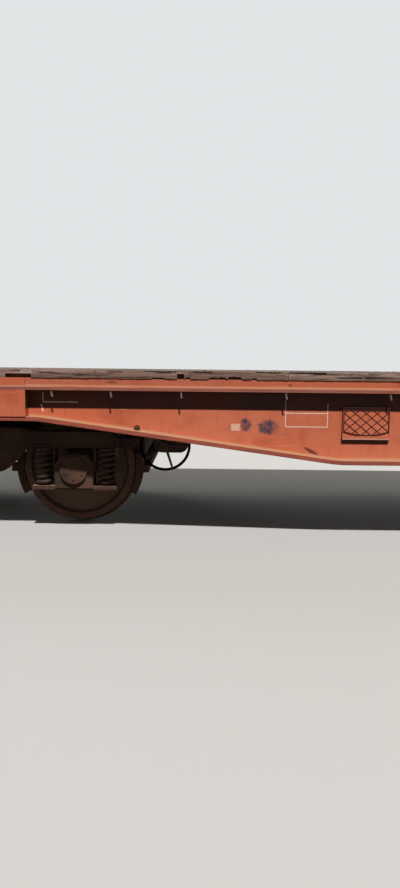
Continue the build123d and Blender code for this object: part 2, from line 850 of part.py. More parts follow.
def brake_rod(x0, x1):
    """Pull rod from a cross lever to the bogie's end, with an eye at x1."""
    length, width = rod_eye
    sign = 1 if x1 > x0 else -1
    low, high = sorted((x1, x1 + sign * length))
    rod = bar_x(rod_radius, min(x0, x1), max(x0, x1), 0, rod_z)
    return rod + block(low, high, -width / 2, width / 2, rod_z - width / 2, rod_z + width / 2)


def rod_hanger(x):
    """Hanger under a cross bearer that the pull rod lies in."""
    length, half, plate = rod_guide
    low = rod_z - rod_radius - plate
    cross = beam_bottom - plate
    reach = centre_half_width + rod_guide_foot
    face = outline(
        (-half - plate, low), (half + plate, low), (half + plate, cross), (reach, cross),
        (reach, beam_bottom), (-reach, beam_bottom), (-reach, cross), (-half - plate, cross),
    )
    face -= outline((-half, low + plate), (half, low + plate), (half, cross), (-half, cross))
    return prism_x(face, x - length / 2, x + length / 2)


def brake_valve():
    """Distributor under the first bearer at end a."""
    x = -bearer_x[0]
    length, width, height = valve_block
    top = beam_bottom
    body = block(x - valve_radius, x + valve_radius, valve_y - valve_radius, valve_y + valve_radius,
                 top - valve_flange, top)
    body += bar_z(valve_radius, top - valve_height, top - valve_flange, x, valve_y)
    return body + block(x - length / 2, x + length / 2, valve_y - width / 2, valve_y + width / 2,
                        top - 2 * height, top - height)


def brake_pipe():
    """Main pipe under the bearers from end to end, with a cock at each end."""
    end = headstock_x + cock_reach
    pipe = bar_x(pipe_radius, -end, end, pipe_y, pipe_z)
    length, width, height = cock_handle
    for x0 in (-end - cock_length, end):
        middle = x0 + cock_length / 2
        pipe += bar_x(cock_radius, x0, x0 + cock_length, pipe_y, pipe_z)
        pipe += block(middle - length / 2, middle + length / 2, pipe_y - width / 2, pipe_y + width / 2,
                      pipe_z, pipe_z + height)
    return pipe


# Wheelset, at its own middle

def axle():
    """Axle: thick through both wheels, with a journal at each end."""
    seat_end = wheel_front + hub_proud
    shaft = bar_y(axle_radius, -seat_end, seat_end, 0, 0)
    return shaft + bar_y(journal_radius, -journal_end, journal_end, 0, 0)


def wheel():
    """One-piece wheel on the +Y side: hub, web, rim, tread and flange, turned about Y."""
    rim_inner = wheel_radius - rim_depth
    web_back = wheel_back + web_recess
    web_front = web_back + wheel_web
    hub_front = wheel_front + hub_proud
    tip = wheel_radius + flange_height
    root, tip_y = flange_tip
    profile = outline(
        (axle_radius, wheel_back), (hub_radius, wheel_back), (hub_radius, web_back),
        (rim_inner, web_back), (rim_inner, wheel_back), (wheel_radius + root, wheel_back),
        (tip, wheel_back + tip_y), (wheel_radius, wheel_back + flange_thickness), (wheel_radius, wheel_front),
        (rim_inner, wheel_front), (rim_inner, web_front), (hub_radius, web_front),
        (hub_radius, hub_front), (axle_radius, hub_front),
    )
    return revolve(profile, Axis.Y)


# Bogie, built about its pivot at x = 0

def side_frame_face():
    """The side frame's outline in X and Z: deep in the middle, arched over the axleboxes."""
    nose_x, nose_z = side_nose
    lower = FilletPolyline(
        (-side_end, side_arch), (-side_arch_x, side_arch), (-side_deep_half, side_bottom),
        (side_deep_half, side_bottom), (side_arch_x, side_arch), (side_end, side_arch),
        radius=side_bend,
    )
    right = [
        (side_end, side_arch), (side_end, side_top_outer - nose_z), (side_end - nose_x, side_top_outer),
        (side_arch_x + side_top_slope, side_top_outer), (side_arch_x - side_top_slope, side_top),
    ]
    upper = Polyline(*right, *[(-x, z) for x, z in reversed(right)])
    return make_face(lower + upper)


def side_frame():
    """Plate side frame on the +Y side, its flanges proud of the web, with axlebox guides and end horns."""
    face = side_frame_face()
    frame = prism_y(face, side_in, side_out)
    panel = offset(face, -side_flange, kind=Kind.INTERSECTION)
    frame -= prism_y(panel, side_in, side_in + side_flange_proud)
    frame -= prism_y(panel, side_out - side_flange_proud, side_out)
    near = box_half + guide_gap
    for axle_x in (-wheel_base / 2, wheel_base / 2):
        for x in (axle_x - near - guide_plate, axle_x + near):
            frame += block(x, x + guide_plate, side_y - guide_half_width, side_y + guide_half_width,
                           guide_bottom, side_arch)
    horn = block(side_end - side_flange, bogie_end - bogie_end_beam[2], *horn_y, side_arch, bogie_end_top)
    return frame + horn + mirror(horn, Plane.YZ)


def bogie_end_member():
    """Channel across the bogie's +X end, open towards the axle."""
    width, depth, plate = bogie_end_beam
    back = bogie_end - width
    section = outline(
        (back, bogie_end_bottom), (bogie_end, bogie_end_bottom), (bogie_end, bogie_end_top),
        (back, bogie_end_top), (back, bogie_end_top - plate), (bogie_end - plate, bogie_end_top - plate),
        (bogie_end - plate, bogie_end_bottom + plate), (back, bogie_end_bottom + plate),
    )
    return prism_y(section, -horn_y[1], horn_y[1])


def transom():
    """Cross member, flared at the side frames, with the pivot cup, side bearers and hanger brackets."""
    reach = side_in + side_flange_proud
    wide = transom_half + transom_flare
    corners = [(transom_half, -transom_neck), (transom_half, transom_neck), (wide, reach)]
    plan = outline(*corners, *[(-x, y) for x, y in reversed(corners)],
                   (-wide, -reach), (wide, -reach))
    beam = extrude(Pos(0, 0, transom_bottom) * plan, amount=transom_top - transom_bottom)
    cup = pivot_radius + pivot_clearance
    beam += bar_z(cup + cup_wall, transom_top, pivot_seat + cup_rim, 0, 0)
    beam -= bar_z(cup, pivot_seat, pivot_seat + cup_rim, 0, 0)
    bearer = block(-side_bearer_half_length, side_bearer_half_length,
                   side_bearer_y - side_bearer_half_width, side_bearer_y + side_bearer_half_width,
                   transom_top, side_bearer_top)
    reach_x = wheel_base / 2 - block_outer
    bracket = block(-reach_x, reach_x, *hanger_y, hanger_top, hanger_top + hanger_bracket)
    for shape in both_sides([bearer, bracket]):
        beam += shape
    return beam


def bogie_frame():
    side = side_frame()
    end = bogie_end_member()
    return side + mirror(side, Plane.XZ) + end + mirror(end, Plane.YZ) + transom()


def axlebox():
    """Box on the +Y side, at an axle's middle: shouldered body, spring wings, cover and journal bore."""
    low, high, seat = box_bottom - axle_z, box_top - axle_z, spring_seat - axle_z
    half, cut = box_half, box_shoulder
    face = outline((-half, low), (half, low), (half, high - cut), (half - cut, high),
                   (cut - half, high), (-half, high - cut))
    wing = spring_offset + spring_radius + wing_margin
    box = prism_y(face, box_in, box_out)
    box += block(-wing, wing, side_in, side_out, seat - wing_thickness, seat)
    box += bar_y(cover_radius, box_out, box_out + cover_thickness, 0, 0)
    return box - bar_y(journal_radius + journal_clearance, box_in, journal_end + journal_end_gap, 0, 0)


def spring(x):
    """Outline of one spring nest on the +Y side."""
    return bar_z(spring_radius, spring_seat, side_arch, x, side_y)


def brake_unit(side):
    """Beam, two blocks and hangers of the +X axle; side is 1 outboard of the axle, -1 inboard."""
    length, height = brake_beam
    reach = 2 * block_outer
    low = radians(-block_sink - block_half_angle)
    high = radians(-block_sink + block_half_angle)
    wedge = outline((0, 0), (reach * cos(low), reach * sin(low)), (reach * cos(high), reach * sin(high)))
    face = Pos(0, axle_z) * ((Circle(block_outer) - Circle(block_inner)) & wedge)
    shoe = prism_y(face, block_y, block_y + block_width)
    back = block_outer - side_flange
    beam = block(back, back + length, 0, block_y + block_width,
                 brake_beam_z - height / 2, brake_beam_z + height / 2)
    top = bogie_end_bottom if side > 0 else hanger_top
    near = back + hanger_set
    hanger = block(near, near + hanger_bar, *hanger_y, brake_beam_z, top)
    half = shoe + beam + hanger
    whole = half + mirror(half, Plane.XZ)
    if side < 0:
        whole = mirror(whole, Plane.YZ)
    return Pos(wheel_base / 2, 0, 0) * whole


def save(name, *shapes):
    """Write one sub-part's solids to its own file."""
    solids = [solid for shape in shapes for solid in shape.solids()]
    export_step(Compound(children=solids), f"parts/{name}.step")


os.makedirs("parts", exist_ok=True)

# Wagon body: frame
sill = side_sill()
save("side_sill_left", sill)
save("side_sill_right", mirror(sill, Plane.XZ))
save("sill_end_boxes", *both_sides(both_ends([end_box()])))
edge = prism_x(channel(frame_half_width - channel_recess, -1), -headstock_back, headstock_back)
save("edge_channels", *both_sides([edge]))
stringers = [prism_x(channel(y, 1), -deck_half_length, deck_half_length) for y in stringer_y]
save("floor_stringers", *both_sides(stringers))
inner_end, outer_end = pivot_x - bolster_half_length, pivot_x + bolster_half_length
save("centre_sill", centre_sill(-inner_end, inner_end), *both_ends([centre_sill(outer_end, headstock_back)]))
bearers = [cross_bearer(x, i < knee_bearers) for i, x in enumerate(bearer_x)]
bearers.append(cross_bearer(pivot_x + bearer_outset, False))
save("cross_bearers", *both_sides(both_ends(bearers)))
for name, shape in (("bolster", bolster()), ("headstock", headstock())):
    save(f"{name}_a", mirror(shape, Plane.YZ))
    save(f"{name}_b", shape)

# Wagon body: floor, end rails and flaps
save("deck", deck())
save("edge_planks", *both_sides([edge_plank()]))
save("end_rails", *both_ends([end_rail()]))
flap = end_flap()
save("end_flap_a", mirror(flap, Plane.YZ))
save("end_flap_b", flap)
save("container_spigots", *both_sides(both_ends([container_spigot(x) for x in spigot_places()])))

# Wagon body: end gear and small fittings
save("buffer_housings", *both_sides(both_ends([buffer_housing()])))
save("buffer_heads", *both_sides(both_ends([buffer_head()])))
save("draw_hooks", *both_ends([draw_hook()]))
save("screw_couplings", *both_ends([screw_coupling()]))
save("corner_steps", *both_sides(both_ends([corner_step()])))
save("grab_rails", *both_sides(both_ends([grab_rail()])))
hook_x = [pivot_x - inset for inset in hook_inset] + [pivot_x + outset for outset in hook_outset]
save("rope_hooks", *both_sides(both_ends([rope_hook(x) for x in hook_x])))
holder = label_holder()
save("label_holders", *holder, *[turned(part) for part in holder])
grille = label_grille()
save("label_grilles", grille, turned(grille))

# Wagon body: brake gear
save("handwheels", *both_sides([handwheel()]))
save("handbrake_shaft", handbrake_shaft())
save("air_reservoir", air_reservoir())
save("brake_cylinder", brake_cylinder())
save("brake_levers", brake_levers())
rod_end = last_bearer_x + rod_stop
save("brake_rods", brake_rod(lever_x[1] + lever_bar[0], rod_end), brake_rod(lever_x[0], -rod_end))
save("rod_hangers", *both_ends([rod_hanger(x) for x in bearer_x]))
save("brake_valve", brake_valve())
save("brake_pipe", brake_pipe())

# Bogies
frame = bogie_frame()
axle_x = (-wheel_base / 2, wheel_base / 2)
box = axlebox()
boxes = both_sides([Pos(x, 0, axle_z) * box for x in axle_x])
springs = both_sides([spring(x + side * spring_offset) for x in axle_x for side in (-1, 1)])
brakes = both_ends([brake_unit(side) for side in (-1, 1)])
for name, x in (("a", -pivot_x), ("b", pivot_x)):
    at = Pos(x, 0, 0)
    save(f"bogie_{name}_frame", at * frame)
    save(f"bogie_{name}_axleboxes", *[at * part for part in boxes])
    save(f"bogie_{name}_springs", *[at * part for part in springs])
    save(f"bogie_{name}_brakes", *[at * part for part in brakes])

# Wheelsets, numbered from end a
shaft = axle()
wheels = both_sides([wheel()])
places = [pivot + x for pivot in (-pivot_x, pivot_x) for x in axle_x]
for number, x in enumerate(places, 1):
    at = Pos(x, 0, axle_z)
    save(f"wheelset_{number}_axle", at * shaft)
    save(f"wheelset_{number}_wheels", *[at * part for part in wheels])
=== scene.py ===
import math
import random

import bmesh
import bpy
from mathutils import Matrix, Vector


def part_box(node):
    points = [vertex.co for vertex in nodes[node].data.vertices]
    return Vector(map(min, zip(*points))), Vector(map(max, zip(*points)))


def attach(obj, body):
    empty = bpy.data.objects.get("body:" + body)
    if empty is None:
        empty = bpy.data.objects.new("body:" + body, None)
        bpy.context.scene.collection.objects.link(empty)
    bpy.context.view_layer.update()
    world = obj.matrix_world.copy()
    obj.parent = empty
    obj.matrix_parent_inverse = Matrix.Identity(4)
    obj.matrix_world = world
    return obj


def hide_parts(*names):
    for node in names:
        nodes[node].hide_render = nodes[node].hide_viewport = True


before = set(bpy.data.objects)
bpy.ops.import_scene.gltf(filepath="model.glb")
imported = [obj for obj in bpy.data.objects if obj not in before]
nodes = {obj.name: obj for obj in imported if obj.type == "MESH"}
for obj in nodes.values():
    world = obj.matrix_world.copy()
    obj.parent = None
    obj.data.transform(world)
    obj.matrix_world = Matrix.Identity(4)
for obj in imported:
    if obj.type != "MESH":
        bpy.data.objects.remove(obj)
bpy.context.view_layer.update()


# Side sills and the flush plates on them at the bolsters.
# Welded plate girders in oxide red paint, bleached in patches, chipped and rusty along the edges, with
# ochre dust on everything that faces up; painted shade darkens the paint below the upper lip, under the
# label holders' trays and on faces that look down.

def rgb(red, green, blue):
    """A colour as the eye reads it, 0 to 255 a channel, as the linear colour that a shader takes."""
    return tuple((c / 255 / 12.92 if c < 11 else ((c / 255 + 0.055) / 1.055) ** 2.4)
                 for c in (red, green, blue)) + (1.0,)


class Tone:
    """A number, vector or colour inside a finish, on which Python's arithmetic adds the nodes."""

    def __init__(self, finish, socket):
        self.finish = finish
        self.socket = socket

    def maths(self, operation, *others, clamp=False):
        settings = {"operation": operation, "use_clamp": clamp}
        return self.finish.node("ShaderNodeMath", settings, dict(enumerate((self, *others))))

    def __add__(self, other):
        return self.maths("ADD", other)

    def __sub__(self, other):
        return self.maths("SUBTRACT", other)

    def __rsub__(self, other):
        return (self * -1).maths("ADD", other)

    def __mul__(self, other):
        return self.maths("MULTIPLY", other)

    def __truediv__(self, other):
        return self.maths("DIVIDE", other)

    def __abs__(self):
        return self.maths("ABSOLUTE")

    __radd__ = __add__
    __rmul__ = __mul__

    def floor(self):
        return self.maths("FLOOR")

    def limit(self):
        """Held between 0 and 1."""
        return self.maths("ADD", 0, clamp=True)

    def rise(self, low, high):
        """0 below the first value, 1 above the second, smooth between."""
        sockets = {"Value": self, "From Min": low, "From Max": high}
        return self.finish.node("ShaderNodeMapRange", {"interpolation_type": "SMOOTHSTEP"}, sockets)

    def within(self, low, high, soft):
        """1 between two values, with edges as soft as said."""
        return self.rise(low - soft, low + soft) * (1 - self.rise(high - soft, high + soft))


class Finish:
    """A material in the making. Patterns follow the wagon's own coordinates, in metres."""

    def __init__(self, name):
        self.material = bpy.data.materials.new(name)
        self.material.use_nodes = True
        self.tree = self.material.node_tree
        self.shader = self.tree.nodes["Principled BSDF"]
        self.shader.inputs["Specular IOR Level"].default_value = 0.2
        coordinates = self.tree.nodes.new("ShaderNodeTexCoord")
        self.place = Tone(self, coordinates.outputs["Object"])
        self.facing = Tone(self, coordinates.outputs["Normal"])
        self.x, self.y, self.z = (self.part_of(self.place, axis) for axis in "XYZ")
        self.up = self.part_of(self.facing, "Z")

    def node(self, kind, settings=None, sockets=None, out=0):
        """A node with its settings, and values or links for its sockets. Returns one output."""
        made = self.tree.nodes.new(kind)
        for key, value in (settings or {}).items():
            setattr(made, key, value)
        for key, value in (sockets or {}).items():
            if isinstance(value, Tone):
                self.tree.links.new(value.socket, made.inputs[key])
            else:
                made.inputs[key].default_value = value
        return Tone(self, made.outputs[out])

    def part_of(self, vector, axis):
        return self.node("ShaderNodeSeparateXYZ", sockets={"Vector": vector}, out=axis)

    def noise(self, size, stretch=(1, 1, 1), detail=3, rough=0.55, shift=0):
        """Clouds with blobs of about the size given, in metres, drawn out by the stretch."""
        scale = tuple(1 / (size * s) for s in stretch)
        place = self.node("ShaderNodeMapping", sockets={
            "Vector": self.place, "Scale": scale, "Location": (shift, shift, shift)})
        return self.node("ShaderNodeTexNoise", sockets={
            "Vector": place, "Scale": 1, "Detail": detail, "Roughness": rough})

    def chance(self, value):
        """A random number that changes with each new whole value."""
        return self.node("ShaderNodeTexWhiteNoise", {"noise_dimensions": "1D"}, {"W": value})

    def mix(self, amount, under, over):
        """One colour over another."""
        colours = {0: amount, 6: under, 7: over}
        return self.node("ShaderNodeMix", {"data_type": "RGBA"}, colours, out=2)

    def rectangle(self, x, z, soft):
        """1 inside a rectangle on a side of the wagon."""
        return self.x.within(*x, soft) * self.z.within(*z, soft)

    def seal(self, colour, rough, bump=None, depth=0.001, metallic=0.0):
        """Links the finished layers to the shader and returns the material."""
        for socket, value in (("Base Color", colour), ("Roughness", rough), ("Metallic", metallic)):
            if isinstance(value, Tone):
                self.tree.links.new(value.socket, self.shader.inputs[socket])
            else:
                self.shader.inputs[socket].default_value = value
        if bump is not None:
            normal = self.node("ShaderNodeBump", sockets={
                "Height": bump, "Distance": depth, "Strength": 0.6})
            self.tree.links.new(normal.socket, self.shader.inputs["Normal"])
        return self.material


def dress(material, *names):
    """Puts a finish on pieces that keep their solid's shape."""
    for name in names:
        for place in nodes[name].material_slots:
            place.material = material


oxide_red = rgb(193, 98, 66)
bleached_red = rgb(200, 111, 81)
deep_red = rgb(168, 79, 54)
rust_brown = rgb(98, 54, 40)
# Near-black used as painted shade: below the upper lip, under the trays, beside the cheeks and on faces
# that look down.
shade_brown = rgb(24, 9, 9)
scratch_pink = rgb(210, 144, 114)
lip_brown = rgb(138, 88, 76)
flange_red = rgb(164, 78, 62)
flange_brown = rgb(128, 70, 60)
ochre_dust = rgb(192, 144, 106)         # dust on upright faces
settled_dust = rgb(178, 140, 108)       # and on what faces up


def weather(finish, paint, bleached, deep, wear=1.0):
    """Layers shared by all the painted steel: bleaching, streaks, rust spots and scratches."""
    colour = finish.mix(finish.noise(1.1, (1, 1, 0.5), shift=3).rise(0.35, 0.7), paint, bleached)
    colour = finish.mix(finish.noise(0.2, detail=5, shift=8).rise(0.48, 0.76) * 0.6, colour, deep)
    streaks = finish.noise(0.03, (1, 1, 10), detail=2, shift=5).rise(0.55, 0.8)
    colour = finish.mix(streaks * 0.25 * wear, colour, rust_brown)
    scratches = finish.noise(0.012, (22, 1, 1), detail=1, shift=2).rise(0.68, 0.76)
    colour = finish.mix(scratches * 0.3 * wear, colour, scratch_pink)
    spots = finish.noise(0.02, detail=3, rough=0.7, shift=1)
    patches = finish.noise(0.5, detail=2, shift=6).rise(0.4, 0.75)
    rust = (spots + patches * 0.1 * wear).rise(0.68, 0.80)
    colour = finish.mix(rust * 0.55, colour, rust_brown)
    return colour, rust, spots


sill_low, sill_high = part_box("side_sill_left")
sill_top = sill_high.z
sill_bottom = sill_low.z
sill_edge = sill_high.y                 # outer edge of the flanges
sill_plate = 0.032                      # flange thickness
sill_shallow = 0.899                    # underside over the bogies
sill_slope = (4.498, 6.755)             # stretch over which the underside climbs
lip_wear_and_highlight = 0.009                        # height of the pale line along the upper lip: worn paint with a painted highlight
lip_shadow_depth = 0.135                         # how far below the lip the painted shade reaches, down to where the lip's shadow ends
lip_shadow_fade = 0.012
web_face = 1.276
holder_low, holder_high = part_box("label_holders")
holder_centre = 4.283
holder_half = 0.1735
tray_shadow = 0.034                       # height of the painted shadow on the web under a label holder's tray
tray_lip_highlight = 0.007                        # height of the painted highlight along a tray's front lip
cheek_shade_band = {"width": 0.008, "below": 0.030}    # painted shade on the web along a holder's cheeks


def sill_height(finish):
    """Height above the sill's underside, along its bend."""
    start, end = sill_slope
    climb = ((abs(finish.x) - start) / (end - start)).limit()
    return finish.z - sill_bottom - climb * (sill_shallow - sill_bottom)


def edge_line(finish, colour, brown_amount):
    """Worn paint along the upper lip, pale above and brown below, broken up along its length. The pale
    line is worn paint with a painted highlight on the lip's top edge.
    """
    outer = abs(finish.y).rise(sill_edge - 0.004, sill_edge - 0.002)
    breaks = finish.noise(0.12, (3, 1, 0.4), detail=4, shift=4)
    worn = finish.z.within(sill_top - lip_wear_and_highlight, sill_top + 0.002, 0.001)
    # the pale line: worn paint and a painted highlight
    pale = outer * worn * breaks.rise(0.3, 0.5)
    colour = finish.mix(pale * 0.8, colour, scratch_pink)
    brown = outer * finish.z.within(sill_top - sill_plate, sill_top - lip_wear_and_highlight, 0.002)
    colour = finish.mix(brown * (breaks.rise(0.3, 0.6) * 0.4 + 0.6) * brown_amount, colour, lip_brown)
    stripes = finish.noise(0.004, (60, 1, 1), detail=2, shift=13).rise(0.5, 0.62)
    return finish.mix(brown * stripes * 0.6, colour, rust_brown)


# Marks in the paint of the photographed side: a blank frame, wiped patches, a scuff and odd
# strokes of chalk white. They are part of the sills' finish and have no thickness.

marks_plane = -1.2                      # they are only on the face beyond this y
stencil_white = rgb(236, 208, 188)
chalk_white = rgb(240, 222, 206)
faded_white = rgb(224, 180, 156)
wiped_grey = rgb(50, 50, 68)
scuff_brown = rgb(92, 42, 36)
frame_line = 0.007
blank_frame = {"x": (-4.893, -4.569), "z": (0.865, 0.975)}
chalk_strokes = (
    {"x": (-4.893, -4.887), "z": (0.975, 1.070), "lean": 0.0},
    {"x": (-4.575, -4.569), "z": (0.975, 1.045), "lean": 0.0},
    {"x": (-6.725, -6.461), "z": (1.034, 1.041), "lean": 0.0},
    {"x": (-6.725, -6.718), "z": (1.041, 1.112), "lean": 0.0},
    {"x": (-6.727, -6.717), "z": (0.965, 1.018), "lean": -0.25},
)
faded_patch = {"x": (-5.300, -5.232), "z": (0.834, 0.887)}
wiped_patches = (
    {"x": -5.190, "z": 0.882, "length": 0.044, "height": 0.060},
    {"x": -5.020, "z": 0.866, "length": 0.090, "height": 0.066},
)
scuff = {"x": -4.689, "z": 0.682, "length": 0.058, "height": 0.016, "slope": -0.49}


def side_marks(finish, colour):
    """The marks that the paint carries on the photographed side."""
    side = 1 - finish.y.rise(marks_plane - 0.001, marks_plane + 0.001)
    chips = 1 - finish.noise(0.014, detail=3, shift=9).rise(0.56, 0.66)
    ragged = finish.noise(0.035, detail=4, rough=0.65, shift=7) * 2.2
    clouds = finish.noise(0.03, detail=3, shift=17).rise(0.3, 0.65) * 0.45 + 0.5
    for patch in wiped_patches:
        across = (finish.x - patch["x"]) / patch["length"]
        upward = (finish.z - patch["z"]) / patch["height"]
        inside = 1 - (across * across + upward * upward + ragged).rise(1.3, 2.2)
        colour = finish.mix(inside * side * clouds, colour, wiped_grey)
    faded = finish.rectangle(faded_patch["x"], faded_patch["z"], 0.005) * side
    colour = finish.mix(faded * (0.85 - finish.noise(0.02, detail=4, shift=10).rise(0.5, 0.75) * 0.5),
                        colour, faded_white)
    (x0, x1), (z0, z1) = blank_frame["x"], blank_frame["z"]
    inner_x = (x0 + frame_line, x1 - frame_line)
    inner_z = (z0 + frame_line, z1 - frame_line)
    line = finish.rectangle((x0, x1), (z0, z1), 0.001) * (1 - finish.rectangle(inner_x, inner_z, 0.001))
    colour = finish.mix(line * side * chips * 0.85, colour, stencil_white)
    for stroke in chalk_strokes:
        leaning = finish.x - (finish.z - stroke["z"][0]) * stroke["lean"]
        inside = leaning.within(*stroke["x"], 0.002) * finish.z.within(*stroke["z"], 0.003)
        colour = finish.mix(inside * side * chips * 0.9, colour, chalk_white)
    along = (finish.x - scuff["x"]) / scuff["length"]
    upward = (finish.z - scuff["z"] - (finish.x - scuff["x"]) * scuff["slope"]) / scuff["height"]
    worn = 1 - (along * along + upward * upward + finish.noise(0.02, detail=4)).rise(1.0, 1.8)
    return finish.mix(worn * side * 0.85, colour, scuff_brown)


def holder_shade(finish, colour, inboard):
    """Painted shadow on the web under the label holders' trays, painted shade on faces that look down
    and on the web beside the cheeks, and a painted highlight on the trays' front lips.
    """
    beside = abs(abs(finish.x) - holder_centre)
    # painted shadow of the tray on the web below it
    under_tray = (1 - beside.rise(holder_half - 0.004, holder_half)) \
        * finish.z.within(holder_low.z - tray_shadow, holder_low.z + 0.004, 0.003)
    # faces that look down get painted shade
    facing_down = 1 - finish.up.rise(-0.9, -0.5)
    colour = finish.mix((under_tray + facing_down * 0.5).limit() * 0.85, colour, shade_brown)
    # painted shade on the web beside the cheeks
    cheeks = beside.within(holder_half, holder_half + cheek_shade_band["width"], 0.002) * inboard \
        * finish.z.within(holder_low.z - cheek_shade_band["below"], holder_high.z, 0.004)
    colour = finish.mix(cheeks * 0.75, colour, shade_brown)
    # painted highlight along the tray's front lip
    lip = abs(finish.y).rise(holder_high.y - 0.004, holder_high.y - 0.002) \
        * (1 - beside.rise(holder_half, holder_half + 0.004)) \
        * finish.z.within(holder_low.z - 0.001, holder_low.z + tray_lip_highlight, 0.001)
    return finish.mix(lip * 0.6, colour, faded_white)


def sill_paint():
    finish = Finish("sill_paint")
    colour, rust, spots = weather(finish, oxide_red, bleached_red, deep_red)
    height = sill_height(finish)
    inboard = 1 - abs(finish.y).rise(web_face + 0.020, web_face + 0.022)
    endways = abs(finish.part_of(finish.facing, "X")).rise(0.5, 0.9)
    # Painted shade: near-black below the upper lip, on the web and on faces that look along the wagon,
    # standing for the lip's shadow.
    lip_shadow_low = sill_top - sill_plate - lip_shadow_depth
    lip_shadow = (inboard + endways).limit() * finish.z.rise(lip_shadow_low - lip_shadow_fade, lip_shadow_low)
    darkening = finish.noise(0.3, detail=3, shift=18).rise(0.4, 0.7) * 0.09 + 0.88
    colour = finish.mix(lip_shadow * darkening, colour, shade_brown)
    colour = holder_shade(finish, colour, inboard)
    colour = side_marks(finish, colour)
    colour = edge_line(finish, colour, 0.85)
    splash = finish.noise(0.1, (2, 1, 1), detail=4, shift=11)
    foot = inboard * (1 - (height - splash * 0.016).rise(sill_plate, sill_plate + 0.008))
    colour = finish.mix(foot * 0.75, colour, ochre_dust)
    outer = abs(finish.y).rise(sill_edge - 0.004, sill_edge - 0.002)
    edge_tone = finish.mix(finish.noise(0.05, (8, 1, 0.3), detail=4, shift=19).rise(0.35, 0.65),
                           flange_red, flange_brown)
    colour = finish.mix(outer * (1 - height.rise(sill_plate - 0.004, sill_plate + 0.002)) * 0.85,
                        colour, edge_tone)
    drifts = finish.noise(0.08, (3, 1, 1), detail=4, shift=12).rise(0.2, 0.5)
    colour = finish.mix(finish.up.rise(0.5, 0.9) * drifts * 0.95, colour, settled_dust)
    chipped = abs(finish.y).rise(web_face + 0.05, web_face + 0.06) * (1 - height.rise(0.005, 0.008))
    colour = finish.mix(chipped * spots.rise(0.4, 0.55) * 0.7, colour, rust_brown)
    return finish.seal(colour, 0.62 + rust * 0.25, spots, 0.0008)


painted_sill = sill_paint()
dress(painted_sill, "side_sill_left", "side_sill_right", "sill_end_boxes")


# Edge channels on the sills, under the edge planks.
# Rolled channel in an older, duller coat of the same red, with stains on the photographed side.

channel_red = rgb(184, 100, 74)
channel_stains = (
    {"x": -6.190, "z": 1.192, "length": 0.050, "height": 0.014},
    {"x": -4.874, "z": 1.181, "length": 0.020, "height": 0.012},
)


def channel_paint():
    finish = Finish("channel_paint")
    colour, rust, spots = weather(finish, channel_red, oxide_red, deep_red, wear=1.3)
    smudge = finish.noise(0.09, (1.6, 1, 0.7), detail=4, shift=14).rise(0.66, 0.78)
    colour = finish.mix(smudge * 0.7, colour, rust_brown)
    ragged = finish.noise(0.02, detail=4, shift=20)
    for stain in channel_stains:
        across = (finish.x - stain["x"]) / stain["length"]
        upward = (finish.z - stain["z"]) / stain["height"]
        inside = 1 - (across * across + upward * upward + ragged * 1.6).rise(1.1, 2.0)
        colour = finish.mix(inside * (1 - finish.y.rise(-0.001, 0.001)) * 0.6, colour, rust_brown)
    foot = 1 - finish.z.rise(sill_top + 0.004, sill_top + 0.012)
    colour = finish.mix(foot * 0.7, colour, ochre_dust)
    return finish.seal(colour, 0.65 + rust * 0.2, spots, 0.0008)


dress(channel_paint(), "edge_channels")


# Rusty stud on the web on the photographed side, low down beside the flange.
# A bolt's end with its nut and washer.

def finished(name, mesh, material, body, slot, *replaced):
    """Makes a piece of the wagon out of a bmesh: it rides on a body and may stand for solids."""
    bmesh.ops.remove_doubles(mesh, verts=mesh.verts, dist=0.00001)
    bmesh.ops.recalc_face_normals(mesh, faces=mesh.faces)
    data = bpy.data.meshes.new(name)
    mesh.to_mesh(data)
    mesh.free()
    data.materials.append(material)
    data.shade_smooth()
    data.set_sharp_from_angle(angle=math.radians(35))
    piece = bpy.data.objects.new(name, data)
    bpy.context.scene.collection.objects.link(piece)
    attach(piece, body)
    if replaced:
        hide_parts(*replaced)


forge_scale = rgb(58, 44, 38)
fine_rust = rgb(96, 68, 52)
fresh_rust = rgb(128, 84, 58)


def bar_iron():
    """Bare forged steel, brown with fine rust."""
    finish = Finish("forged_steel")
    grain = finish.noise(0.015, detail=4)
    colour = finish.mix(grain.rise(0.3, 0.7), forge_scale, fine_rust)
    colour = finish.mix(finish.noise(0.12, detail=3, shift=4).rise(0.5, 0.8) * 0.6, colour, fresh_rust)
    return finish.seal(colour, 0.55 + grain * 0.35, grain, 0.0006, metallic=0.35)


forged_steel = bar_iron()
stud_place = Vector((-6.012, -web_face, 0.845))
stud_steps = (                          # radius, reach and number of sides
    (0.024, 0.004, 20),                 # washer
    (0.017, 0.014, 6),                  # nut
    (0.010, 0.026, 10),                 # bolt's end
)
stud = bmesh.new()
for radius, reach, sides in stud_steps:
    middle = Matrix.Translation(stud_place - Vector((0, reach / 2, 0)))
    bmesh.ops.create_cone(stud, cap_ends=True, segments=sides, radius1=radius, radius2=radius,
                          depth=reach, matrix=middle @ Matrix.Rotation(math.pi / 2, 4, "X"))
finished("web_stud", stud, forged_steel, "wagon", "forged_steel")


# Underframe: centre sill, cross bearers, bolsters and stringers.
# Welded plate in the same paint, kept dark by brake dust and damp.

dusty_brown = rgb(112, 62, 46)
sooty_brown = rgb(74, 46, 37)
dust_grey = rgb(150, 126, 104)
speckle_rust = rgb(120, 70, 44)


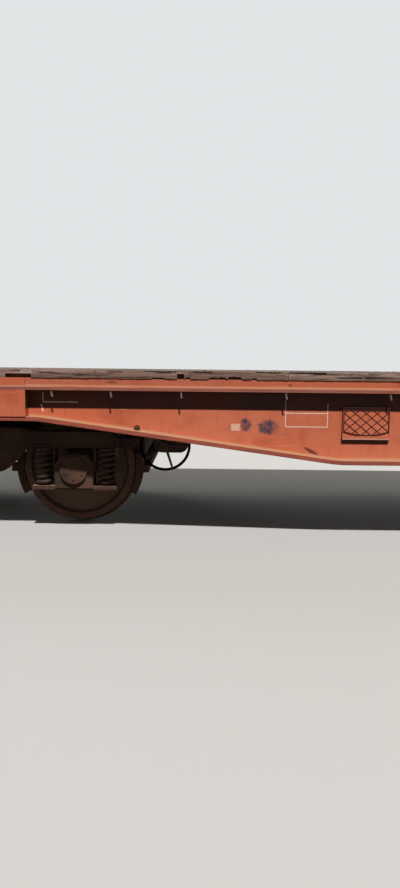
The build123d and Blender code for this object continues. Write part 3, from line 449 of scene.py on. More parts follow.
def dark_paint(name, paint, darkening):
    finish = Finish(name)
    clouds = finish.noise(0.35, detail=4, shift=2)
    colour = finish.mix(clouds.rise(0.35, 0.65), paint, darkening)
    speckle = finish.noise(0.03, detail=4, rough=0.65, shift=7)
    colour = finish.mix(speckle.rise(0.56, 0.7) * 0.6, colour, speckle_rust)
    settled = finish.up.rise(0.4, 0.9) * finish.noise(0.06, detail=3, shift=5).rise(0.25, 0.6)
    colour = finish.mix(settled * 0.6, colour, dust_grey)
    return finish.seal(colour, 0.7 + speckle * 0.2, speckle, 0.0008)


underframe_paint = dark_paint("underframe_paint", dusty_brown, sooty_brown)
dress(underframe_paint, "centre_sill", "cross_bearers", "bolster_a", "bolster_b", "floor_stringers",
      "rod_hangers")


# Headstocks, end rails and drop flaps.
# Steel plate in the same oxide red, scraped by loads along the flaps' top.

flap_red = rgb(178, 94, 70)
flap_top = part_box("end_flap_a")[1].z
rubbed_height = 0.05                    # of the strip along the flaps' top that loads have scraped


def flap_paint():
    finish = Finish("flap_paint")
    colour, rust, spots = weather(finish, flap_red, oxide_red, deep_red, wear=1.4)
    rubbed = finish.z.rise(flap_top - rubbed_height, flap_top) \
        * finish.noise(0.05, (1, 3, 1), detail=4).rise(0.4, 0.6)
    colour = finish.mix(rubbed * 0.7, colour, rust_brown)
    dust = finish.up.rise(0.5, 0.9) * finish.noise(0.08, detail=4, shift=12).rise(0.2, 0.5)
    colour = finish.mix(dust * 0.7, colour, settled_dust)
    return finish.seal(colour, 0.62 + rust * 0.25, spots, 0.0008)


painted_flap = flap_paint()
dress(painted_flap, "headstock_a", "headstock_b", "end_rails", "end_flap_a", "end_flap_b")


# Floor of cross planks on the stringers and edge channels.
# Weathered softwood laid with narrow gaps, each plank a little different in tone and height,
# with pockets left for the container spigots.

wood_crack = rgb(48, 36, 30)
floor_tones = {"brown": rgb(78, 62, 50), "grey": rgb(110, 97, 84), "light": rgb(126, 107, 88)}


def weathered_wood(name, run, tones, number_board):
    """Grey softwood: fine grain and long drying cracks along the run, a new tone for each board."""
    finish = Finish(name)
    tone = finish.chance(number_board(finish.x))
    grain = finish.noise(0.006, run, detail=4, rough=0.6, shift=3)
    bands = finish.noise(0.03, run, detail=3, shift=5)
    colour = finish.mix(bands.rise(0.3, 0.7), tones["brown"], tones["grey"])
    colour = finish.mix(tone * 0.7, colour, tones["light"])
    colour = finish.mix(grain.rise(0.45, 0.75) * 0.5, colour, tones["brown"])
    stains = finish.noise(0.25, detail=4, shift=9).rise(0.55, 0.8)
    colour = finish.mix(stains * 0.45, colour, wood_crack)
    longer = tuple(s * 1.6 if s > 1 else 1 for s in run)
    split = finish.noise(0.008, longer, detail=2, rough=0.4, shift=8).rise(0.66, 0.72)
    colour = finish.mix(split * 0.85, colour, wood_crack)
    return finish, colour, 0.8 + grain * 0.15, grain - split


deck_low, deck_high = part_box("deck")
plank_gap = 0.006
plank_count = 74
plank_pitch = (deck_high.x - deck_low.x) / plank_count
plank_edge = 0.004
plank_worn = 0.004                      # most that a plank's top is worn below the deck's
pocket_centres = (3.1695, 5.9925, 9.0225)
pocket = (0.300, 0.230)                 # length and width of the pockets for the spigots
pocket_y = 1.1295

wood, wood_colour, wood_rough, wood_bump = weathered_wood(
    "floor_planks", (1, 26, 1), floor_tones, lambda x: ((x + deck_high.x) / plank_pitch).floor())
floor_wood = wood.seal(wood_colour, wood_rough, wood_bump, 0.002)


def slab(mesh, low, high, edge=0.0):
    """A rectangular block with eased edges."""
    low, high = Vector(low), Vector(high)
    matrix = Matrix.Translation((low + high) / 2) @ Matrix.Diagonal((*(high - low), 1))
    block = bmesh.ops.create_cube(mesh, size=1, matrix=matrix)
    if edge:
        edges = list({e for v in block["verts"] for e in v.link_edges})
        bmesh.ops.bevel(mesh, geom=edges, offset=edge, offset_type="OFFSET", affect="EDGES", segments=1,
                        profile=0.5, material=-1)
    return block["verts"]


chance = random.Random(7)
floor = bmesh.new()
for i in range(plank_count):
    x0 = deck_low.x + i * plank_pitch + plank_gap / 2
    x1 = x0 + plank_pitch - plank_gap
    top = deck_high.z - chance.uniform(0, plank_worn)
    near_pocket = any(x1 > s * c - pocket[0] / 2 and x0 < s * c + pocket[0] / 2
                      for c in pocket_centres for s in (-1, 1))
    reach = pocket_y - pocket[1] / 2 if near_pocket else deck_high.y
    slab(floor, (x0, -reach, deck_low.z), (x1, reach, top), plank_edge)
finished("floor_planks", floor, floor_wood, "wagon", "floor_planks", "deck")


# Short planks beside the pockets, where the long ones stop.
# The same wood, cut to what is left between a pocket and the next whole joint.

shortest_plank = 0.01
strip_worn = 0.002

strips = bmesh.new()
for centre in pocket_centres:
    for s in (-1, 1):
        first = math.floor((s * centre - pocket[0] / 2 - deck_low.x) / plank_pitch)
        last = math.floor((s * centre + pocket[0] / 2 - deck_low.x) / plank_pitch)
        ends = (deck_low.x + first * plank_pitch, deck_low.x + min(last + 1, plank_count) * plank_pitch)
        for low, high in ((ends[0], s * centre - pocket[0] / 2), (s * centre + pocket[0] / 2, ends[1])):
            if high - low > shortest_plank:
                for side in (-1, 1):
                    y0, y1 = sorted((side * (pocket_y - pocket[1] / 2), side * deck_high.y))
                    slab(strips, (low + plank_gap / 2, y0, deck_low.z),
                         (high - plank_gap / 2, y1, deck_high.z - strip_worn), plank_edge)
finished("pocket_planks", strips, floor_wood, "wagon", "floor_planks")


# Floor bolts, two rows a side, one in each plank.
# Round heads let into the wood, brown with rust.

bolt_rows = (0.33, 0.88)
floor_bolt = {"radius": 0.011, "crown": 0.0088, "low": 0.010, "high": 0.001}    # depths in the floor
bolt_brown = rgb(70, 52, 44)
bolt_worn = rgb(120, 92, 74)


def post(mesh, radius, low, high, sides=12, radius_end=None):
    """A round bar or cone between two points."""
    low, high = Vector(low), Vector(high)
    run = high - low
    turn = run.to_track_quat("Z", "Y").to_matrix().to_4x4()
    bmesh.ops.create_cone(mesh, cap_ends=True, segments=sides, radius1=radius,
                          radius2=radius if radius_end is None else radius_end, depth=run.length,
                          matrix=Matrix.Translation((low + high) / 2) @ turn)


def bolt_steel():
    finish = Finish("bolt_steel")
    grain = finish.noise(0.01, detail=3)
    return finish.seal(finish.mix(grain.rise(0.3, 0.7), bolt_brown, bolt_worn),
                       0.5 + grain * 0.3, grain, 0.0004, metallic=0.4)


rusty_bolt = bolt_steel()
bolts = bmesh.new()
for i in range(plank_count):
    for row in bolt_rows:
        for side in (-1, 1):
            x = deck_low.x + (i + 0.5) * plank_pitch
            foot = Vector((x, side * row, deck_high.z - floor_bolt["low"]))
            crown = foot + Vector((0, 0, floor_bolt["low"] - floor_bolt["high"]))
            post(bolts, floor_bolt["radius"], foot, crown, 8, floor_bolt["crown"])
finished("floor_bolts", bolts, rusty_bolt, "wagon", "forged_steel")


# Edge planks along both sides, lying on the channels.
# Long boards end to end, split along the grain and broken along the lower edge, with square
# notches at the places where the photograph shows them.

edge_low, edge_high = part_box("edge_planks")
edge_depth = 0.120
notch_depth = 0.060
notches = (
    {"x": 6.880, "length": 0.190, "height": 0.030},
    {"x": 5.682, "length": 0.052, "height": 0.038},
)
board_ends = (edge_low.x, -5.611, -4.888, -1.2, 2.5, 6.0, edge_high.x)
board_gap = 0.0015
edge_cut = 0.016                        # spacing of the cuts that the worn edges are modelled with
worn_top = 0.004                        # how far wear has lowered the upper edge at most
worn_bottom = 0.002                     # and raised the lower edge
worn_face = 0.005                       # how far the face is worn back
worn_foot = 0.004                       # and the lower edge beyond that
worn_grain = 0.0025
board_step = 0.002                      # the inner part of a board lies this much lower
broken = (                              # broken lower edge on the photographed side
    {"x": (-5.889, -5.793), "depth": 0.011},
    {"x": (-5.650, -5.611), "depth": 0.019},
    {"x": (-5.475, -5.340), "depth": 0.019},
    {"x": (-5.325, -5.238), "depth": 0.025},
    {"x": (-5.150, -5.120), "depth": 0.015},
)
split_tops = (                          # open splits along the top there: ends and their heights
    {"x": (-5.596, -5.446), "z": (1.276, 1.274)},
    {"x": (-5.130, -4.940), "z": (1.278, 1.276)},
    {"x": (-4.882, -4.607), "z": (1.278, 1.269)},
)
split_half = 0.0075
split_depth = 0.045                     # how far a split goes in from the face
pale_patch = {"x": (-6.864, -6.778), "z": (1.254, 1.282)}
edge_tones = {"brown": rgb(100, 70, 60), "grey": rgb(158, 128, 116), "light": rgb(182, 150, 134)}
foot_brown = rgb(112, 84, 70)
top_brown = rgb(66, 51, 40)
patch_grey = rgb(190, 170, 160)
split_black = rgb(16, 11, 10)


def edge_wood():
    """The boards' worn faces: a brown foot, drying checks, and open splits along the top."""
    finish, colour, rough, bump = weathered_wood(
        "edge_wood", (26, 1, 1), edge_tones,
        lambda x: sum(x.maths("GREATER_THAN", end) for end in board_ends[1:-1]))
    ragged = finish.noise(0.03, (4, 1, 0.5), detail=4, shift=16)
    foot = 1 - (finish.z - ragged * 0.02).rise(edge_low.z + 0.002, edge_low.z + 0.022)
    colour = finish.mix(foot * 0.45, colour, foot_brown)
    streaks = finish.noise(0.016, (36, 1, 1), detail=3, shift=21).rise(0.5, 0.62)
    colour = finish.mix(streaks * 0.7, colour, edge_tones["brown"])
    checks = finish.noise(0.012, (24, 1, 1), detail=2, shift=22).rise(0.57, 0.62)
    colour = finish.mix(checks * 0.9, colour, wood_crack)
    near = 1 - finish.y.rise(marks_plane - 0.001, marks_plane + 0.001)
    pale = finish.rectangle(pale_patch["x"], pale_patch["z"], 0.004) * near * ragged.rise(0.2, 0.5)
    colour = finish.mix(pale * 0.8, colour, patch_grey)
    dark_top = finish.z.rise(edge_high.z - 0.006, edge_high.z - 0.001) \
        * finish.noise(0.16, (3, 1, 1), detail=3, shift=15).rise(0.42, 0.6)
    colour = finish.mix(dark_top * 0.8, colour, wood_crack)
    # faces that look up are painted a darker brown
    colour = finish.mix(finish.up.rise(0.5, 0.9) * 0.9, colour, top_brown)
    open_side = 1 - finish.y.rise(split_depth - edge_high.y - 0.002, split_depth - edge_high.y + 0.002)
    for split in split_tops:
        (x0, x1), (z0, z1) = split["x"], split["z"]
        fallen = finish.z - (finish.x - x0) * ((z1 - z0) / (x1 - x0)) - z0
        gap = 1 - (abs(fallen) + ragged * 0.002).rise(split_half, split_half + 0.002)
        inside = finish.x.within(x0, x1, 0.006) * open_side * gap
        colour = finish.mix(inside * 0.97, colour, split_black)
        bump = bump - inside
    return finish.seal(colour, rough, bump, 0.003)


def nearest_notch(x):
    return min(notches, key=lambda notch: abs(abs(x) - notch["x"]))


def edge_board(mesh, x0, x1, side):
    """One board's face as a grid with worn edges, cut where the notches begin and end."""
    cells = max(2, round((x1 - x0) / edge_cut))
    middle = Vector(((x0 + x1) / 2, side * edge_high.y, (edge_low.z + edge_high.z) / 2))
    size = Matrix.Diagonal((x1 - x0, edge_high.z - edge_low.z, 1, 1))
    upright = Matrix.Translation(middle) @ Matrix.Rotation(math.pi / 2, 4, "X") @ size
    bmesh.ops.create_grid(mesh, x_segments=cells, y_segments=2, size=0.5, matrix=upright)
    for notch in notches:
        for end in (-1, 1):
            for cut in (end * notch["x"] - notch["length"] / 2, end * notch["x"] + notch["length"] / 2):
                if x0 < cut < x1:
                    bmesh.ops.bisect_plane(mesh, geom=mesh.faces[:] + mesh.edges[:] + mesh.verts[:],
                                           dist=0.0001, plane_co=(cut, 0, 0), plane_no=(1, 0, 0))
    for v in mesh.verts:
        if v.co.z > edge_high.z - 0.001:
            v.co.z -= chance.uniform(0, worn_top)
        elif v.co.z < edge_low.z + 0.001:
            gaps = [gap["depth"] for gap in broken if side < 0 and gap["x"][0] < v.co.x < gap["x"][1]]
            v.co.z += chance.uniform(0.6, 1) * gaps[0] if gaps else chance.uniform(0, worn_bottom)
            v.co.y -= side * worn_foot
        else:
            v.co.z = edge_low.z + nearest_notch(v.co.x)["height"]
        v.co.y -= side * (worn_face + chance.uniform(0, worn_grain))


def notch_faces(mesh):
    """The grid's faces that the notches take out."""
    faces = []
    for face in mesh.faces:
        middle = face.calc_center_median()
        notch = nearest_notch(middle.x)
        along = abs(abs(middle.x) - notch["x"])
        if along < notch["length"] / 2 and middle.z < edge_low.z + notch["height"]:
            faces.append(face)
    return faces


def draw_in(mesh, side, depth):
    """Gives the board's face its depth, away from the wagon's side."""
    made = bmesh.ops.extrude_face_region(mesh, geom=mesh.faces[:])["geom"]
    bmesh.ops.translate(mesh, vec=(0, -side * depth, 0),
                        verts=[v for v in made if isinstance(v, bmesh.types.BMVert)])


boards = bmesh.new()
for side in (-1, 1):
    for start, end in zip(board_ends, board_ends[1:]):
        x0, x1 = start + board_gap, end - board_gap
        board = bmesh.new()
        edge_board(board, x0, x1, side)
        bmesh.ops.delete(board, geom=notch_faces(board), context="FACES")
        draw_in(board, side, notch_depth)
        data = bpy.data.meshes.new("board")
        board.to_mesh(data)
        board.free()
        boards.from_mesh(data)
        bpy.data.meshes.remove(data)
        y0, y1 = sorted((side * (edge_high.y - edge_depth), side * (edge_high.y - notch_depth)))
        slab(boards, (x0, y0, edge_low.z), (x1, y1, edge_high.z - board_step))
finished("edge_boards", boards, edge_wood(), "wagon", "edge_wood", "edge_planks")


# Container spigots, folded flat in their pockets.
# Castings rubbed bright, with rusty patches.

rubbed_steel = rgb(150, 142, 132)
dull_steel = rgb(112, 100, 90)
patch_rust = rgb(112, 72, 50)


def bare_casting():
    finish = Finish("bare_fittings")
    grain = finish.noise(0.02, detail=4)
    colour = finish.mix(grain.rise(0.35, 0.65), rubbed_steel, dull_steel)
    rust = finish.noise(0.07, detail=3, shift=4).rise(0.5, 0.72)
    colour = finish.mix(rust * 0.7, colour, patch_rust)
    return finish.seal(colour, 0.5 + rust * 0.35, grain, 0.0005, metallic=0.4)


dress(bare_casting(), "container_spigots")


# Buffers: a barrel on a bolted base, and a domed head on its plunger.
# The barrel is painted; the head is bare steel with grease in the middle of its face.

base_low, base_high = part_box("buffer_housings")
buffer_y = 0.875
buffer_z = (base_low.z + base_high.z) / 2
headstock_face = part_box("headstock_b")[1].x
base_plate = (0.020, 0.340, 0.290)      # thickness, width and height
base_bolt = {"radius": 0.017, "inset": 0.035, "height": 0.016}
barrel = (                              # distance from the headstock, and radius
    (0.020, 0.116), (0.050, 0.112), (0.345, 0.106), (0.350, 0.118), (0.386, 0.120), (0.390, 0.116),
    (0.390, 0.090),
)
plunger_radius = 0.088
plunger_foot = 0.385
head_back = 0.586
head_front = 0.620
dome_radius = 2.75
dome_rings = (0.0, 0.05, 0.1, 0.15, 0.2, 0.235)
head_size = (0.450, 0.340)
head_round = 0.245
head_bevel = 0.006


def turned(mesh, profile, axis_point, direction, steps=48):
    """Turns a profile of distances along an axis and radii about it, as on a lathe."""
    direction = Vector(direction).normalized()
    side = direction.orthogonal().normalized()
    centre = Vector(axis_point)
    verts = [mesh.verts.new(centre + direction * along + side * radius) for along, radius in profile]
    edges = [mesh.edges.new(pair) for pair in zip(verts, verts[1:])]
    bmesh.ops.spin(mesh, geom=verts + edges, cent=centre, axis=direction, angle=math.tau, steps=steps,
                   use_merge=True)


buffer_bodies = bmesh.new()
buffer_bolts = bmesh.new()
heads = bmesh.new()
for end in (-1, 1):
    for side in (-1, 1):
        foot = Vector((end * headstock_face, side * buffer_y, buffer_z))
        out = Vector((end, 0, 0))
        thick, wide, tall = base_plate
        low = foot + Vector((min(0, end * thick), -wide / 2, -tall / 2))
        slab(buffer_bodies, low, low + Vector((thick, wide, tall)), 0.004)
        turned(buffer_bodies, barrel, foot, out, 40)
        for y in (-1, 1):
            for z in (-1, 1):
                at = foot + Vector((end * thick, y * (wide / 2 - base_bolt["inset"]),
                                    z * (tall / 2 - base_bolt["inset"])))
                post(buffer_bolts, base_bolt["radius"], at, at + out * base_bolt["height"], 6)
        plunger = ((plunger_foot, 0), (plunger_foot, plunger_radius), (head_back, plunger_radius))
        turned(heads, plunger, foot, out, 36)
        dome = [(head_front - dome_radius + math.sqrt(dome_radius ** 2 - r ** 2), r)
                for r in (*dome_rings, head_round)]
        rim = [(dome[-1][0] - head_bevel, head_round), (head_back, head_round),
               (head_back, plunger_radius)]
        disc = bmesh.new()
        turned(disc, dome + rim, foot, out, 64)
        for limit, normal in ((head_size[0] / 2, (0, 1, 0)), (head_size[1] / 2, (0, 0, 1))):
            for s in (-1, 1):
                plane = Vector(normal) * s
                bmesh.ops.bisect_plane(disc, geom=disc.verts[:] + disc.edges[:] + disc.faces[:],
                                       dist=0.0001, plane_co=foot + plane * limit, plane_no=plane,
                                       clear_outer=True)
                open_edges = [e for e in disc.edges if e.is_boundary]
                if open_edges:
                    bmesh.ops.holes_fill(disc, edges=open_edges, sides=0)
        data = bpy.data.meshes.new("disc")
        disc.to_mesh(data)
        disc.free()
        heads.from_mesh(data)
        bpy.data.meshes.remove(data)

head_brown = rgb(112, 92, 78)
head_dark = rgb(84, 66, 56)
grease = rgb(40, 36, 34)


def greased_steel():
    """Bare buffer faces: a dark greasy middle, brown edges."""
    finish = Finish("buffer_steel")
    grain = finish.noise(0.03, detail=4)
    across = abs(finish.y) - buffer_y
    upward = finish.z - buffer_z
    middle = 1 - (across * across + upward * upward + grain * 0.01).rise(0.008, 0.03)
    colour = finish.mix(grain.rise(0.35, 0.65), head_brown, head_dark)
    colour = finish.mix(middle * 0.75, colour, grease)
    return finish.seal(colour, 0.55 - middle * 0.2, grain, 0.0005, metallic=0.5)


buffer_paint = dark_paint("buffer_paint", paint=rgb(118, 66, 50), darkening=rgb(80, 50, 40))
finished("buffer_barrels", buffer_bodies, buffer_paint, "wagon", "buffer_paint", "buffer_housings")
finished("buffer_bolts", buffer_bolts, rusty_bolt, "wagon", "forged_steel")
finished("buffer_discs", heads, greased_steel(), "wagon", "buffer_steel", "buffer_heads")


# Draw hooks and screw couplings.
# Forgings brown with fine rust: the coupling's links, the screw with its weighted handle, and the
# bow that hangs below.

coupling_x = 9.450
hook_side = 0.025                       # half the hook's thickness
link = {"thick": 0.016, "half": 0.026, "length": 0.200, "clear": 0.002, "edge": 0.005}
pin_radius = 0.019
pin_past = 0.008                        # how far the pins stand out past the links
trunnion = 0.024
screw = {"radius": 0.020, "length": 0.190, "ridge": 0.003, "pitch": 0.012}
nut_half = 0.030
nut_edge = 0.006
bow = {"half": 0.070, "bar": 0.017, "straight": 0.160}
handle_bar = {"bar": 0.009, "length": 0.075, "weight": 0.024, "weight_half": 0.022}


class Bar:
    """A round bar that is drawn out straight and bent, as at a smith's bench."""

    def __init__(self, mesh, radius, start, heading, sides=8):
        self.mesh = mesh
        self.at = Vector(start)
        self.heading = Vector(heading).normalized()
        turn = self.heading.to_track_quat("Z", "Y").to_matrix().to_4x4()
        disc = bmesh.ops.create_circle(mesh, cap_ends=True, radius=radius, segments=sides,
                                       matrix=Matrix.Translation(self.at) @ turn)
        self.last = list({f for v in disc["verts"] for f in v.link_faces})

    def run(self, length):
        """Draws the bar straight on."""
        made = bmesh.ops.extrude_face_region(self.mesh, geom=self.last)["geom"]
        inner = [f for f in self.last if f.is_valid and self.is_inner(f)]
        bmesh.ops.delete(self.mesh, geom=inner, context="FACES_ONLY")
        step = self.heading * length
        drawn = [v for v in made if isinstance(v, bmesh.types.BMVert)]
        bmesh.ops.translate(self.mesh, vec=step, verts=drawn)
        self.last = [f for f in made if isinstance(f, bmesh.types.BMFace)]
        self.at += step
        return self

    def is_inner(self, face):
        """True for a cap that has become an inner wall."""
        return all(len(edge.link_faces) > 2 for edge in face.edges)

    def bend(self, angle, radius, side, steps=6, rise=0.0):
        """Bends the bar towards a side, by an angle in degrees, rising along the bend's axis."""
        side = Vector(side).normalized()
        axis = self.heading.cross(side).normalized()
        centre = self.at + side * radius
        turn = math.radians(angle)
        ring = [v for f in self.last for v in f.verts]
        edges = [e for f in self.last for e in f.edges]
        made = bmesh.ops.spin(self.mesh, geom=self.last + ring + edges, cent=centre, axis=axis,
                              dvec=axis * (rise / steps), angle=turn, steps=steps)["geom_last"]
        self.last = [f for f in made if isinstance(f, bmesh.types.BMFace)]
        rotation = Matrix.Rotation(turn, 3, axis)
        self.at = centre + rotation @ (self.at - centre) + axis * rise
        self.heading = rotation @ self.heading
        return self


dress(forged_steel, "draw_hooks", "brake_rods", "brake_levers")
couplings = bmesh.new()
for end in (-1, 1):
    pin = Vector((end * coupling_x, 0, buffer_z))
    low = pin - Vector((0, 0, link["length"]))
    nut = low - Vector((0, 0, screw["length"]))
    for side in (-1, 1):
        inner = hook_side + link["clear"]
        y0, y1 = sorted((side * inner, side * (inner + link["thick"])))
        slab(couplings, (pin.x - link["half"], y0, low.z),
             (pin.x + link["half"], y1, pin.z + link["half"]), link["edge"])
    across = Vector((0, hook_side + link["thick"] + pin_past, 0))
    post(couplings, pin_radius, pin - across, pin + across, 16)
    post(couplings, trunnion, low - across, low + across, 16)
    upper_nut = Vector((nut_half, hook_side, nut_half))
    slab(couplings, low - upper_nut, low + upper_nut, nut_edge)
    thread = [(0, 0.0)]
    for i in range(round(screw["length"] / screw["pitch"])):
        thread.append((i * screw["pitch"], screw["radius"]))
        thread.append(((i + 0.5) * screw["pitch"], screw["radius"] - screw["ridge"]))
    turned(couplings, thread + [(screw["length"], 0.0)], nut, (0, 0, 1), 16)
    middle = (low + nut) / 2
    handle = middle - Vector((0, handle_bar["length"], 0))
    weight = Vector((0, 0, handle_bar["weight_half"]))
    post(couplings, handle_bar["bar"], middle, handle, 10)
    post(couplings, handle_bar["weight"], handle - weight, handle + weight, 12)
    lower_nut = Vector((nut_half, bow["half"], nut_half))
    slab(couplings, nut - lower_nut, nut + lower_nut, nut_edge)
    Bar(couplings, bow["bar"], nut + Vector((0, bow["half"], 0)), (0, 0, -1), 12).run(bow["straight"]) \
        .bend(180, bow["half"], (0, -1, 0), steps=14).run(bow["straight"])
finished("coupling_chains", couplings, forged_steel, "wagon", "forged_steel", "screw_couplings")


# Steps and grab rails at the corners, in the underframe's paint.
# Flat bar and plate, and a round bar on two plates behind the buffers.

dress(underframe_paint, "corner_steps", "grab_rails")


# Rope hooks under the upper lip, 12 a side at each end.
# Short round pegs bent aside by the ropes, worn to bare metal.

hook_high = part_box("rope_hooks")[1]
peg = {"bar": 0.007, "straight": 0.026, "bend": 0.014}
peg_lean = (9, 18)                      # degrees
peg_tail = (0.018, 0.026)
peg_worn = rgb(128, 116, 110)
peg_dull = rgb(92, 78, 72)
pivot_x = 7.43                          # the bogies' pivots
hook_insets = (                         # from a pivot towards the wagon's middle
    0.791, 1.230, 1.752, 2.531, 3.306, 4.056, 4.806, 5.555, 6.305, 7.055, -0.810, -1.330,
)


def pale_peg():
    finish = Finish("rope_hook_steel")
    grain = finish.noise(0.012, detail=3)
    colour = finish.mix(grain.rise(0.4, 0.7), peg_worn, peg_dull)
    return finish.seal(colour, 0.6, grain, 0.0003, metallic=0.1)


pegs = bmesh.new()
for inset in hook_insets:
    for end in (-1, 1):
        for side in (-1, 1):
            foot = (end * (pivot_x - inset), side * (hook_high.y - peg["bar"]), hook_high.z)
            lean = chance.uniform(*peg_lean)
            Bar(pegs, peg["bar"], foot, (0, 0, -1)).run(peg["straight"]) \
                .bend(lean, peg["bend"], (-end, 0, 0), steps=4).run(chance.uniform(*peg_tail))
finished("rope_pegs", pegs, pale_peg(), "wagon", "bare_fittings", "rope_hooks")


# Label holders: cheeks, tray and back of bent plate in the sill's paint, and a front of diamond
# wire mesh in a wire rim that sags below. One on each side of the wagon.

wire_radius = 0.0018
rim_radius = 0.0042
diamond = (0.082, 0.066)
grille_top = 1.018
rim_heights = {"cheek": 0.840, "middle": 0.811}     # sagging rim, at the cheeks and in the middle
rim_pieces = 12
grille_y = {"top": 1.2945, "bottom": 1.300}
grille_bottom = 0.804
back_plate = {"behind": 0.004, "thick": 0.0015, "low": 0.782, "high": 1.019}
wire_red = rgb(90, 34, 26)
wire_black = rgb(50, 24, 21)
holders = ((1, holder_centre), (-1, -holder_centre))    # the side that each is on, and its middle


def wire_paint():
    finish = Finish("label_wire")
    grain = finish.noise(0.01, detail=3)
    return finish.seal(finish.mix(grain.rise(0.35, 0.65), wire_red, wire_black), 0.6, grain, 0.0002)


def grille_depth(z):
    """Distance of the sloping front from the wagon's middle at a height."""
    share = (grille_top - z) / (grille_top - grille_bottom)
    return grille_y["top"] + share * (grille_y["bottom"] - grille_y["top"])


def rim_height(x):
    """The sagging rim's height at a distance from the holder's middle."""
    sag = rim_heights["cheek"] - rim_heights["middle"]
    return rim_heights["middle"] + sag * (x / holder_half) ** 2


def wire(mesh, radius, x0, z0, x1, z1, centre, side):
    """A straight wire in the sloping front."""
    ends = [(centre + x, side * grille_depth(z), z) for x, z in ((x0, z0), (x1, z1))]
    post(mesh, radius, *ends, 6)


def mesh_wires(mesh, centre, side):
    """Both families of slanting wires, cut off at the cheeks, the top and the rim."""
    width, height = diamond
    slope = height / width
    step = width / 24                   # fine enough to find where a wire ends
    middle = (grille_top + grille_bottom) / 2
    for lean in (-1, 1):
        for i in range(-6, 7):
            inside = []
            x = -holder_half
            while x <= holder_half:
                z = middle + lean * slope * (x - i * width)
                if rim_height(x) <= z <= grille_top:
                    inside.append((x, z))
                x += step
            if len(inside) > 2:
                wire(mesh, wire_radius, *inside[0], *inside[-1], centre, side)


grilles = bmesh.new()
for side, centre in holders:
    mesh_wires(grilles, centre, side)
    wire(grilles, rim_radius, -holder_half, grille_top, holder_half, grille_top, centre, side)
    for i in range(rim_pieces):
        x0, x1 = (holder_half * (2 * j / rim_pieces - 1) for j in (i, i + 1))
        wire(grilles, rim_radius, x0, rim_height(x0), x1, rim_height(x1), centre, side)
    for x in (-holder_half + rim_radius, holder_half - rim_radius):
        wire(grilles, rim_radius, x, rim_height(x), x, grille_top, centre, side)
finished("label_wires", grilles, wire_paint(), "wagon", "label_steel", "label_grilles")
dress(painted_sill, "label_holders")

# The backs take the sill's paint, whose painted shade darkens their upper part.
backs = bmesh.new()
for side, centre in holders:
    plate = slab(backs, (centre - holder_half, 0, back_plate["low"]),
                 (centre + holder_half, back_plate["thick"], back_plate["high"]))
    for v in plate:
        v.co.y = side * (grille_depth(v.co.z) - back_plate["behind"] - v.co.y)
finished("label_backs", backs, painted_sill, "wagon", "sill_paint")


# Hand brake: a spoked wheel on each side on one cross shaft, with a plate beside its bracket.
# Cast iron, nearly black, brown where it rusts.

wheel_low, wheel_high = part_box("handwheels")
shaft_x = (wheel_low.x + wheel_high.x) / 2
shaft_z = (wheel_low.z + wheel_high.z) / 2
rim_bar = 0.0115
wheel_round = 0.200 - rim_bar
wheel_y = 1.120
hub = ((-0.025, 0.019), (-0.025, 0.030), (0.018, 0.032), (0.025, 0.028), (0.025, 0.019))
spokes = 5
spoke = {"start": 0.025, "foot": 0.011, "end": 0.008}   # distance from the middle, and two radii
shaft_plate = {"x": (-5.905, -5.630), "y": (0.968, 0.974), "z": (0.622, 0.962), "round": 0.065}


def rusty_iron(name, dark, brown):
    finish = Finish(name)
    grain = finish.noise(0.02, detail=4)
    colour = finish.mix(grain.rise(0.35, 0.7), dark, brown)
    return finish.seal(colour, 0.6 + grain * 0.25, grain, 0.0005, metallic=0.2)


handwheel_iron = rusty_iron("handwheel_iron", dark=rgb(52, 40, 36), brown=rgb(92, 66, 52))
wheels = bmesh.new()
for side in (-1, 1):
    centre = Vector((shaft_x, side * wheel_y, shaft_z))
    ring = bmesh.ops.create_circle(wheels, radius=rim_bar, segments=10,
                                   matrix=Matrix.Translation(centre + Vector((wheel_round, 0, 0)))
                                   @ Matrix.Rotation(math.pi / 2, 4, "X"))["verts"]
    edges = list({e for v in ring for e in v.link_edges})
    bmesh.ops.spin(wheels, geom=ring + edges, cent=centre, axis=(0, 1, 0), angle=math.tau, steps=48,
                   use_merge=True)
    turned(wheels, hub, centre, (0, side, 0), 20)
    for i in range(spokes):
        ray = Matrix.Rotation(i * math.tau / spokes, 3, "Y") @ Vector((1, 0, 0))
        post(wheels, spoke["foot"], centre + ray * spoke["start"], centre + ray * wheel_round, 8,
             spoke["end"])
finished("handwheel_rings", wheels, handwheel_iron, "wagon", "handwheel_iron", "handwheels")
dress(handwheel_iron, "handbrake_shaft")

shaft_plates = bmesh.new()
for side in (-1, 1):
    (x0, x1), (z0, z1) = shaft_plate["x"], shaft_plate["z"]
    y0, y1 = sorted(side * y for y in shaft_plate["y"])
    corners = slab(shaft_plates, (x0, y0, z0), (x1, y1, z1))
    lowest = [e for e in {e for v in corners for e in v.link_edges}
              if all(v.co.z < z0 + 0.001 for v in e.verts)]
    lower = [e for e in lowest if abs(e.verts[0].co.y - e.verts[1].co.y) > 0.001]
    bmesh.ops.bevel(shaft_plates, geom=lower, offset=shaft_plate["round"], offset_type="OFFSET",
                    affect="EDGES", segments=8, profile=0.5, material=-1)
finished("shaft_plates", shaft_plates, handwheel_iron, "wagon", "handwheel_iron")


# Air brake: reservoir with domed ends, cylinder, distributor and pipe.
# All in the same dark paint, dusty on top.

brake_paint = dark_paint("brake_gear_paint", paint=rgb(84, 58, 48), darkening=rgb(56, 42, 36))
dress(brake_paint, "brake_cylinder", "brake_valve", "brake_pipe", "air_reservoir")


# Bogies: welded frames, cast axleboxes, spring nests and brake gear.
# Brown-black with brake dust, speckled with rust; the axleboxes' covers are held by bolts.

